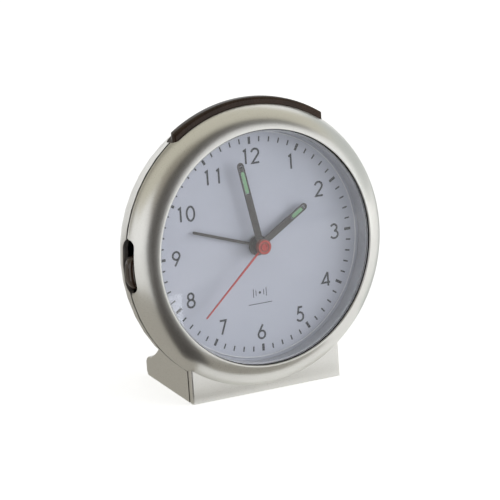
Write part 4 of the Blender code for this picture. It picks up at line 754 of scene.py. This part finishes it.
def penStroke(bm, path, width, low, high):
    # a flat ribbon along a path, mitred at its corners
    closed = math.dist(path[0], path[-1]) < 1e-6
    points = path[:-1] if closed else path
    count = len(points)
    sides = []
    for number, point in enumerate(points):
        before = points[number - 1] if closed or number > 0 else None
        after = points[(number + 1) % count] if closed or number < count - 1 else None
        first = Vector(point) - Vector(before) if before else None
        second = Vector(after) - Vector(point) if after else None
        first = (first or second).normalized()
        second = (second or first).normalized()
        heading = (first + second).normalized()
        normal = Vector((-heading.y, heading.x))
        lean = max(dialPrint["sharpest"], heading.dot(second))
        reach = normal * width / 2 / lean
        sides.append((Vector(point) + reach, Vector(point) - reach))
    rows = []
    for left, right in sides:
        corners = ((left, high), (right, high), (right, low), (left, low))
        rows.append([bm.verts.new((spot.x, spot.y, height)) for spot, height in corners])
    pairs = list(zip(rows, rows[1:] + rows[:1])) if closed else list(zip(rows, rows[1:]))
    for row, following in pairs:
        for side in range(4):
            other = (side + 1) % 4
            bm.faces.new((row[side], row[other], following[other], following[side]))
    if not closed:
        bm.faces.new(rows[0])
        bm.faces.new(rows[-1])


def writeNumeral(bm, text, centre):
    height = dialPrint["numeralHeight"] - dialPrint["stroke"]
    gaps = [0.0]
    for mark in text[1:]:
        gaps.append(dialPrint["gapBeforeOne"] if mark == "1" else dialPrint["gap"])
    total = sum(figures[mark][0] for mark in text) + sum(gaps)
    left = centre[0] - total * height / 2
    bottom = centre[1] - height / 2
    for mark, gap in zip(text, gaps):
        left += gap * height
        width, strokes = figures[mark]
        for stroke in strokes:
            path = [(left + x * height, bottom + y * height) for x, y in stroke]
            penStroke(bm, path, dialPrint["stroke"], 0.0, dialPrint["ink"])
        left += width * height


def addTicks(bm):
    for minute in range(60):
        start, end, width = dialPrint["hourTick"] if minute % 5 == 0 else dialPrint["minuteTick"]
        angle = math.radians(90.0 - 6.0 * minute)
        out = (math.cos(angle), math.sin(angle))
        offset = dialPrint["offset"]
        path = [(out[0] * reach + offset[0], out[1] * reach + offset[1]) for reach in (start, end)]
        penStroke(bm, path, width, 0.0, dialPrint["ink"])


figureMesh = bmesh.new()
for text, centre in numerals.items():
    writeNumeral(figureMesh, text, centre)
dialFigures = solid("dial_figures", figureMesh, ink, smoothBelow=20.0)
tickMesh = bmesh.new()
addTicks(tickMesh)
dialTicks = solid("dial_ticks", tickMesh, ink, smoothBelow=20.0)

# a plain ornament under the hands: a dot between short upright bars, over a thin line
ornament = {
    "dot": 0.45,
    "height": -16.7,
    "bars": ((1.5, 1.9), (2.5, 3.0)),     # how far out, how tall
    "line": 4.6,
    "lineHeight": -20.5,
    "stroke": 0.25,
}
middle = ornament["height"]
dotOutline = arc((0.0, middle), ornament["dot"], ornament["dot"], 0.0, 345.0, 23)
ornamentMesh = drawn(dotOutline, 0.0, dialPrint["ink"])
for side in (-1, 1):
    for away, tall in ornament["bars"]:
        path = [(side * away, middle - tall / 2), (side * away, middle + tall / 2)]
        penStroke(ornamentMesh, path, ornament["stroke"], 0.0, dialPrint["ink"])
lineHeight = ornament["lineHeight"]
linePath = [(-ornament["line"], lineHeight), (ornament["line"], lineHeight)]
penStroke(ornamentMesh, linePath, ornament["stroke"], 0.0, dialPrint["ink"])
dialOrnament = solid("dial_ornament", ornamentMesh, ink, smoothBelow=20.0)
for piece in (dialFigures, dialTicks, dialOrnament):
    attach(piece, "case")
print("dial printed")


# afterglow strips in the hands
strips = {
    "hour": {"angle": 59.0, "from": 15.6, "to": 20.3, "top": 2.42, "body": "hour"},
    "minute": {"angle": 348.5, "from": 19.4, "to": 27.2, "top": 3.42, "body": "minute"},
}
stripWidth = 1.3
stripThick = 0.04
for name, strip in strips.items():
    end = stripWidth / 2
    outline = arc((0.0, strip["to"] - end), end, end, 0.0, 180.0, 12)
    outline += arc((0.0, strip["from"] + end), end, end, 180.0, 360.0, 12)
    turnStrip = Matrix.Rotation(math.radians(-strip["angle"]), 4, "Z")
    stripMesh = drawn(outline, strip["top"] - stripThick, strip["top"])
    piece = solid(name + "_strip", stripMesh, glow, turnStrip)
    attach(piece, strip["body"])
print("afterglow strips laid")


# second hand: a needle under a turned cap
secondHand = {
    "angle": 228.0,
    "length": 32.0,
    "root": 0.34,
    "tip": 0.2,
    "low": 4.5,
    "sheet": 0.4,
    "cap": 2.64,
    "capLow": 4.2,
    "capTop": 5.9,
    "edge": 0.28,
    "groove": (1.3, 1.75, 0.3),
    "centre": 0.9,
    "centreSlope": 0.1,
    "grooveSlope": 0.08,
    "rim": 2.36,             # outside this the cap is painted darker, as shade
    "steps": 64,
}


def secondHandShape():
    cap = secondHand["cap"]
    top = secondHand["capTop"]
    edge = secondHand["edge"]
    inner, outer, deep = secondHand["groove"]
    centre = secondHand["centre"]
    ease = secondHand["centreSlope"]
    slope = secondHand["grooveSlope"]
    profile = [(0.0, top - deep), (centre - ease, top - deep), (centre + ease, top)]
    profile += [(inner, top), (inner + slope, top - deep)]
    profile += [(outer - slope, top - deep), (outer, top)]
    profile += arc((cap - edge, top - edge), edge, edge, 90.0, 0.0, 6)
    profile += [(cap, secondHand["capLow"]), (0.0, secondHand["capLow"])]
    return spun(profile, secondHand["steps"])


turnSecond = Matrix.Rotation(math.radians(-secondHand["angle"]), 4, "Z")
needleOutline = [(secondHand["root"], 0.0), (secondHand["tip"], secondHand["length"])]
needleOutline += [(-secondHand["tip"], secondHand["length"]), (-secondHand["root"], 0.0)]
needle = solid(
    "second_needle",
    drawn(needleOutline, secondHand["low"], secondHand["low"] + secondHand["sheet"]),
    red,
    turnSecond,
)
secondCap = solid("second_cap", secondHandShape(), red)
secondCap.data.materials.append(redShade)
# the rim and the groove's floor get the painted shade
for face in secondCap.data.polygons:
    middle = toDial @ face.center
    away = math.hypot(middle.x, middle.y)
    grooved = secondHand["groove"][0] < away < secondHand["groove"][1]
    grooved = grooved and middle.z < secondHand["capTop"] - 0.1
    if away > secondHand["rim"] or grooved:
        face.material_index = 1
for piece in (needle, secondCap):
    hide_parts("second_hand")
    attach(piece, "second")
print("second hand built")


# pressed hub of the alarm hand, closed over the pipe below
hub = {"hole": 2.05, "radius": 3.55, "low": 0.95, "top": 1.42, "edge": 0.15, "steps": 64}
hubEdge = hub["edge"]
hubProfile = [(hub["hole"], hub["low"]), (hub["hole"], hub["top"])]
hubProfile += arc((hub["radius"] - hubEdge, hub["top"] - hubEdge), hubEdge, hubEdge, 90.0, 0.0, 6)
hubProfile += [(hub["radius"], hub["low"])]
alarmHub = solid("alarm_hub", spun(hubProfile, hub["steps"]), handGrey)
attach(alarmHub, "alarm")
print("alarm hub built")


# snooze bar: a base that fills the slot, and the raised part above it
snooze = {
    "halfLength": 29.6,
    "proudHalf": 29.2,
    "front": 1.1,
    "back": 5.3,
    "radius": 51.75,
    "endRound": 2.6,
    "edgeRound": 1.4,
    "backRound": 3.6,
    "frontRound": 1.2,        # plus the taper's 5.0 it has to be less than front plus back
    "baseRound": 0.1,
    "floor": 45.4,
    "flush": 49.5,            # up to here the bar fills its slot
    "taper": (7.0, 5.0),      # above it the back corners run in: along, across
    "overrun": 0.5,
    "steps": 384,
    "crispAngle": 50.0,
}


def snoozeShape(name, outline, top, edge, behind):
    bar = solid(name, drawn(outline, 0.0, beyond), umber, alongY)
    rear = -snooze["back"] - snooze["overrun"]
    fore = snooze["front"] + snooze["overrun"]
    profile = [(snooze["floor"], rear), (top - behind, rear)]
    profile += arc((top - behind, behind - snooze["back"]), behind, behind, -90.0, 0.0, 16)
    profile += arc((top - edge, snooze["front"] - edge), edge, edge, 0.0, 90.0, 10)
    profile += [(top - edge, fore), (snooze["floor"], fore)]
    section = solid("snoozeSection", spun(profile, snooze["steps"]))
    return carve(bar, [section], "INTERSECT", snooze["crispAngle"])


def slotOutline():
    half = snooze["halfLength"]
    return roundedBox(-half, half, -snooze["front"], snooze["back"], snooze["endRound"], 12)


def proudOutline():
    half = snooze["proudHalf"]
    along, across = snooze["taper"]
    front = snooze["frontRound"]
    low = front - snooze["front"]
    high = snooze["back"] - across
    outline = arc((half - along, high), along, across, 0.0, 90.0, 16)
    outline += arc((along - half, high), along, across, 90.0, 180.0, 16)
    outline += arc((front - half, low), front, front, 180.0, 270.0, 8)
    outline += arc((half - front, low), front, front, 270.0, 360.0, 8)
    return outline


snoozeBase = snoozeShape(
    "snooze_bar_base", slotOutline(), snooze["flush"], snooze["baseRound"], snooze["baseRound"]
)
snoozeBar = snoozeShape(
    "snooze_bar_skin", proudOutline(), snooze["radius"], snooze["edgeRound"], snooze["backRound"]
)
for piece in (snoozeBase, snoozeBar):
    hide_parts("snooze_bar")
    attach(piece, "snooze")
print("snooze bar built")


# alarm slider on the left flank
slider = {
    "halfLength": 11.25,
    "halfWidth": 4.25,
    "back": 43.0,
    "face": 44.2,
    "rest": -1.2,
    "thumb": (6.5, 5.9, 2.75),   # reach, half length, half width
    "thumbAt": (-2.3, -0.8),
    "fullness": (0.4, 0.8, 0.55),
    "sunk": 0.6,
    "thumbFrom": 43.6,           # the thumb is kept outside this
}


def sliderShape():
    outline = roundedBox(
        slider["rest"] - slider["halfLength"],
        slider["rest"] + slider["halfLength"],
        -slider["halfWidth"],
        slider["halfWidth"],
        slider["halfWidth"] - 0.3,
        14,
    )
    plateMesh = drawn(outline, -slider["face"], -slider["back"])
    plate = solid("alarm_slider_skin", plateMesh, glossUmber, alongX)
    bm = bmesh.new()
    bmesh.ops.create_uvsphere(bm, u_segments=96, v_segments=64, radius=1.0)
    for vert in bm.verts:
        pairs = zip(vert.co, slider["fullness"])
        vert.co = [math.copysign(abs(value) ** power, value) for value, power in pairs]
    bmesh.ops.scale(bm, verts=bm.verts, vec=slider["thumb"])
    inward = slider["sunk"] - slider["face"]
    bmesh.ops.translate(bm, verts=bm.verts, vec=(inward, *slider["thumbAt"]))
    thumb = solid("thumb", bm)
    near = -slider["thumbFrom"]
    side = 20.0
    keepOutline = [(-beyond, -side), (near, -side), (near, side), (-beyond, side)]
    keepOut = solid("thumbHalf", drawn(keepOutline, -8.0, 8.0))
    carve(thumb, [keepOut], "INTERSECT")
    return carve(plate, [thumb], "UNION")


alarmSlider = sliderShape()
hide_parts("alarm_slider")
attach(alarmSlider, "alarm_slide")
print("alarm slider built")


# finishes for the solids that stay as they are
finishes = {
    silver: ["rear_case", "battery_door"],
    dialLacquer: ["dial_plate"],
    handGrey: ["alarm_hand", "hour_hand", "minute_hand", "hour_inlay", "minute_inlay"],
    acetal: [
        "alarm_wheel", "hour_wheel", "motion_wheel", "minute_stage_wheel", "second_stage_wheel",
        "alarm_set_shaft", "movement_base", "movement_cover", "alarm_switch_lever",
    ],
    brass: ["minute_wheel", "second_wheel"],
    nickel: [
        "minute_rotor", "second_rotor", "minute_stator", "second_stator", "quartz_crystal",
        "battery_spring", "battery_plate",
    ] + [name for name in nodes if "screw" in name],
    copper: ["minute_coil", "second_coil", "aerial_coil"],
    ferrite: ["ferrite_rod"],
    board: ["circuit_board"],
    sleeve: ["battery"],
    umber: [
        "alarm_knob", "receive_button", "set_button", "receive_switch", "set_switch",
        "snooze_switch", "receiver_chip", "alarm_switch", "buzzer",
    ],
}
for material, names in finishes.items():
    for name in names:
        for slot in nodes[name].material_slots:
            slot.material = material
for name in ("alarm_hand", "hour_hand", "minute_hand", "alarm_knob"):
    soften(nodes[name], 0.08)


def smoothGroup(crispAbove):
    # shades the facets of a turned solid as one curve and keeps its real edges
    group = bpy.data.node_groups.new("smoothShading", "GeometryNodeTree")
    group.interface.new_socket("Geometry", in_out="INPUT", socket_type="NodeSocketGeometry")
    group.interface.new_socket("Geometry", in_out="OUTPUT", socket_type="NodeSocketGeometry")
    start = addNode(group, "NodeGroupInput").outputs[0]
    merge = {"Geometry": start, "Distance": 1e-6}
    joined = addNode(group, "GeometryNodeMergeByDistance", merge).outputs[0]
    smooth = "GeometryNodeSetShadeSmooth"
    faces = addNode(group, smooth, {"Geometry": joined}, domain="FACE").outputs[0]
    bend = addNode(group, "GeometryNodeInputMeshEdgeAngle").outputs["Unsigned Angle"]
    limits = {0: bend, 1: math.radians(crispAbove)}
    gentle = addNode(group, "FunctionNodeCompare", limits, operation="LESS_THAN").outputs[0]
    edges = addNode(group, smooth, {"Geometry": faces, "Shade Smooth": gentle}, domain="EDGE")
    addNode(group, "NodeGroupOutput", {"Geometry": edges.outputs[0]})
    return group


turnedShading = smoothGroup(32.0)
for name in ("rear_case", "battery_door", "receive_button", "set_button"):
    shading = nodes[name].modifiers.new("smoothShading", "NODES")
    shading.node_group = turnedShading
    weights = nodes[name].modifiers.new("evenNormals", "WEIGHTED_NORMAL")
    weights.keep_sharp = True
print("finishes given")


# stage, light and camera
stageSet = {
    "floorSize": 8.0,
    "floorColour": "#eeeeec",
    "floorDrop": 0.0002,
    "reflectionsAway": 1.3,        # metres
    "reflectionSpacing": 0.03,     # each painted reflection sheet hangs this share further out than the one before
    "reflectionSteps": 8,
    "tableTop": 0.0008,
    "tableSpacing": 0.0001,
    "floorLift": 0.6,         # light the floor adds to itself for the camera
    "glossLift": 0.34,        # and for what reflects it
    "ambient": 0.5,
}
white = (1.0, 1.0, 1.0, 1.0)


def makeFloor():
    bm = bmesh.new()
    bmesh.ops.create_circle(bm, cap_ends=True, segments=96, radius=stageSet["floorSize"] / 2)
    floor = solid("floor", bm, place=Matrix.Translation((0.0, 0.0, -stageSet["floorDrop"])))
    colour = linear(stageSet["floorColour"])
    material, tree, shader, _ = startMaterial("paleFloor", Roughness=0.9, Base_Color=colour)
    ray = addNode(tree, "ShaderNodeLightPath").outputs
    glossy = {0: ray["Is Glossy Ray"], 1: stageSet["glossLift"]}
    mirrored = addNode(tree, "ShaderNodeMath", glossy, operation="MULTIPLY").outputs[0]
    seen = {0: ray["Is Camera Ray"], 1: stageSet["floorLift"], 2: mirrored}
    lift = addNode(tree, "ShaderNodeMath", seen, operation="MULTIPLY_ADD").outputs[0]
    shader.inputs["Emission Color"].default_value = white
    tree.links.new(lift, shader.inputs["Emission Strength"])
    floor.data.materials.append(material)


def makeWorld():
    world = bpy.data.worlds.new("studio")
    bpy.context.scene.world = world
    world.use_nodes = True
    tree = world.node_tree
    back = tree.nodes["Background"]
    ray = addNode(tree, "ShaderNodeLightPath").outputs
    seen = ray["Is Camera Ray"]
    for kind in ("Is Glossy Ray", "Is Transmission Ray"):
        sockets = {0: seen, 1: ray[kind]}
        seen = addNode(tree, "ShaderNodeMath", sockets, operation="MAXIMUM").outputs[0]
    sockets = {"Value": seen, "To Min": stageSet["ambient"], "To Max": 1.0}
    level = addNode(tree, "ShaderNodeMapRange", sockets)
    back.inputs["Color"].default_value = white
    tree.links.new(level.outputs["Result"], back.inputs["Strength"])


# where each softbox stands, as seen from the dial: right, up, out
lamps = {
    "rightSoftbox": {"way": (0.84, 0.06, 0.50), "far": 0.9, "size": (0.7, 0.6), "power": 5.0},
    "leftSoftbox": {"way": (-0.95, 0.06, 0.26), "far": 1.0, "size": (0.6, 0.6), "power": 0.95},
}
# what the lacquer mirrors round the white tent, painted in as reflections: glowing sheets that
# only gloss sees, each the colour it shows; a sky path is (right, up, out) from the dial with half
# its width in degrees, a table path is (right, away) and half its width in metres
paintedReflections = {
    "darkRoom": {
        "colour": "#1b1109",
        "sky": (
            ((0.80, 0.40, 0.44), 4.0),
            ((0.56, 0.62, 0.54), 8.0),
            ((0.15, 0.78, 0.62), 12.0),
            ((-0.33, 0.55, 0.77), 18.0),
            ((-0.55, 0.05, 0.83), 20.0),
            ((-0.56, -0.22, 0.80), 20.0),
        ),
        "table": (
            ((-0.032, -0.024), 0.008),
            ((-0.050, -0.052), 0.020),
            ((-0.084, -0.108), 0.038),
            ((-0.165, -0.236), 0.085),
            ((-0.62, -0.98), 0.38),
        ),
    },
    "dimCorner": {
        "colour": "#8e8779",
        "sky": (
            ((0.10, 0.86, 0.50), 12.0),
            ((-0.40, 0.74, 0.54), 17.0),
            ((-0.62, 0.50, 0.60), 16.0),
            ((-0.70, 0.28, 0.66), 9.0),
        ),
        "table": (),
    },
    "seamShade": {
        "colour": "#858073",
        "sky": (
            ((-0.88, 0.12, -0.47), 7.0),
            ((-0.74, 0.50, -0.46), 9.0),
            ((-0.48, 0.74, -0.47), 9.0),
            ((-0.10, 0.88, -0.47), 9.0),
        ),
        "table": (
            ((-0.170, 0.045), 0.020),
            ((-0.260, 0.085), 0.035),
            ((-0.60, 0.24), 0.10),
        ),
    },
    "ceiling": {
        "colour": "#cac6b6",
        "sky": (
            ((-0.86, 0.42, -0.30), 16.0),
            ((-0.62, 0.78, 0.00), 24.0),
            ((0.00, 0.98, 0.10), 30.0),
            ((0.62, 0.76, 0.20), 24.0),
            ((0.90, 0.40, 0.10), 16.0),
        ),
        "table": (),
    },
    "backWall": {
        "colour": "#aca798",
        "sky": (
            ((-0.76, -0.02, -0.60), 9.0),
            ((-0.55, 0.42, -0.70), 20.0),
            ((-0.30, 0.66, -0.69), 22.0),
            ((0.05, 0.78, -0.62), 20.0),
        ),
        "table": (),
    },
    "rightWall": {
        "colour": "#c4c8c6",
        "sky": (
            ((0.93, 0.10, 0.33), 22.0),
            ((0.98, 0.12, -0.10), 26.0),
            ((0.80, 0.12, -0.58), 26.0),
        ),
        "table": (
            ((0.070, 0.000), 0.020),
            ((0.170, 0.100), 0.070),
            ((0.450, 0.360), 0.200),
        ),
    },
    "shadedTable": {
        "colour": "#a5a198",
        "sky": (),
        "table": (
            ((-0.090, -0.075), 0.055),
            ((-0.084, 0.020), 0.062),
            ((-0.160, 0.140), 0.130),
            ((-0.60, 0.42), 0.35),
        ),
    },
    "footShade": {
        "colour": "#8f8b82",
        "sky": (),
        "table": (
            ((-0.048, -0.044), 0.018),
            ((-0.020, -0.035), 0.011),
            ((0.012, -0.033), 0.007),
            ((0.040, -0.034), 0.003),
        ),
    },
}


def faceDial(item, way, far):
    # stands at that distance from the dial and looks back at it
    direction = (dialPlace.to_3x3() @ Vector(way)).normalized()
    middle = dialPlace.translation
    item.location = middle + direction * far
    item.rotation_euler = (-direction).to_track_quat("-Z", "Y").to_euler()


for name, lamp in lamps.items():
    light = bpy.data.lights.new(name, "AREA")
    light.shape = "RECTANGLE"
    light.size, light.size_y = lamp["size"]
    light.energy = lamp["power"]
    item = bpy.data.objects.new(name, light)
    item.visible_glossy = False
    bpy.context.collection.objects.link(item)
    faceDial(item, lamp["way"], lamp["far"])


def skyRows(bm, path, away):
    # a strip on a sphere of that radius round the dial
    rows = []
    steps = stageSet["reflectionSteps"]
    ways = [Vector(way).normalized() for way, half in path]
    halves = [math.radians(half) for way, half in path]
    for number in range(len(ways) - 1):
        heading = (ways[number + 1] - ways[number]).normalized()
        for step in range(steps + 1 if number == len(ways) - 2 else steps):
            share = step / steps
            way = ways[number].slerp(ways[number + 1], share)
            half = halves[number] + (halves[number + 1] - halves[number]) * share
            side = way.cross(heading).normalized() * math.tan(half)
            spots = [(way + side).normalized(), (way - side).normalized()]
            rows.append([bm.verts.new(dialPlace @ (spot * away / mm)) for spot in spots])
    return rows


def tableRows(bm, path, height):
    rows = []
    spots = [Vector(spot) for spot, half in path]
    for number, (_, half) in enumerate(path):
        before = spots[max(number - 1, 0)]
        after = spots[min(number + 1, len(spots) - 1)]
        heading = (after - before).normalized()
        side = Vector((-heading.y, heading.x)) * half
        rows.append([bm.verts.new((*(spots[number] + way), height)) for way in (side, -side)])
    return rows


def hangPaintedReflection(name, cloth, order):
    # the first ones hang in front of the rest, and lie on top of them
    bm = bmesh.new()
    away = stageSet["reflectionsAway"] * (1.0 + stageSet["reflectionSpacing"] * order)
    skyReflection = skyRows(bm, cloth["sky"], away)
    height = stageSet["tableTop"] - stageSet["tableSpacing"] * order
    tableReflection = tableRows(bm, cloth["table"], height)
    for rows in (skyReflection, tableReflection):
        for row, following in zip(rows, rows[1:]):
            bm.faces.new((row[0], row[1], following[1], following[0]))
    # each sheet glows its colour: a painted reflection that only gloss rays see
    material, _, _, _ = startMaterial(
        name + "Cloth",
        Roughness=1.0,
        Base_Color=(0.0, 0.0, 0.0, 1.0),
        Specular_IOR_Level=0.0,
        Emission_Color=linear(cloth["colour"]),
        Emission_Strength=1.0,
    )
    hung = solid(name + "Cloth", bm, material, place=Matrix.Identity(4))
    hung.visible_camera = False
    hung.visible_diffuse = False
    hung.visible_shadow = False
    hung.visible_transmission = False


for order, (name, cloth) in enumerate(paintedReflections.items()):
    hangPaintedReflection(name, cloth, order)
makeFloor()
makeWorld()

viewpoint = {
    "azimuth": -29.252,      # degrees, from the viewer's left
    "elevation": 18.619,
    "distance": 1.082,
    "target": (-0.00236, -0.008545, 0.04953),
    "lens": 225.0,
    "sensor": 36.0,
    "clip": (0.05, 20.0),
}


def makeCamera():
    turn = math.radians(viewpoint["azimuth"])
    rise = math.radians(viewpoint["elevation"])
    level = math.cos(rise)
    back = Vector((math.sin(turn) * level, -math.cos(turn) * level, math.sin(rise)))
    data = bpy.data.cameras.new("photoCamera")
    data.lens = viewpoint["lens"]
    data.sensor_width = viewpoint["sensor"]
    data.clip_start, data.clip_end = viewpoint["clip"]
    camera = bpy.data.objects.new("photoCamera", data)
    bpy.context.collection.objects.link(camera)
    camera.location = Vector(viewpoint["target"]) + back * viewpoint["distance"]
    camera.rotation_euler = (-back).to_track_quat("-Z", "Y").to_euler()
    bpy.context.scene.camera = camera


makeCamera()
bpy.context.scene.view_settings.view_transform = "Standard"
print("stage and camera set")
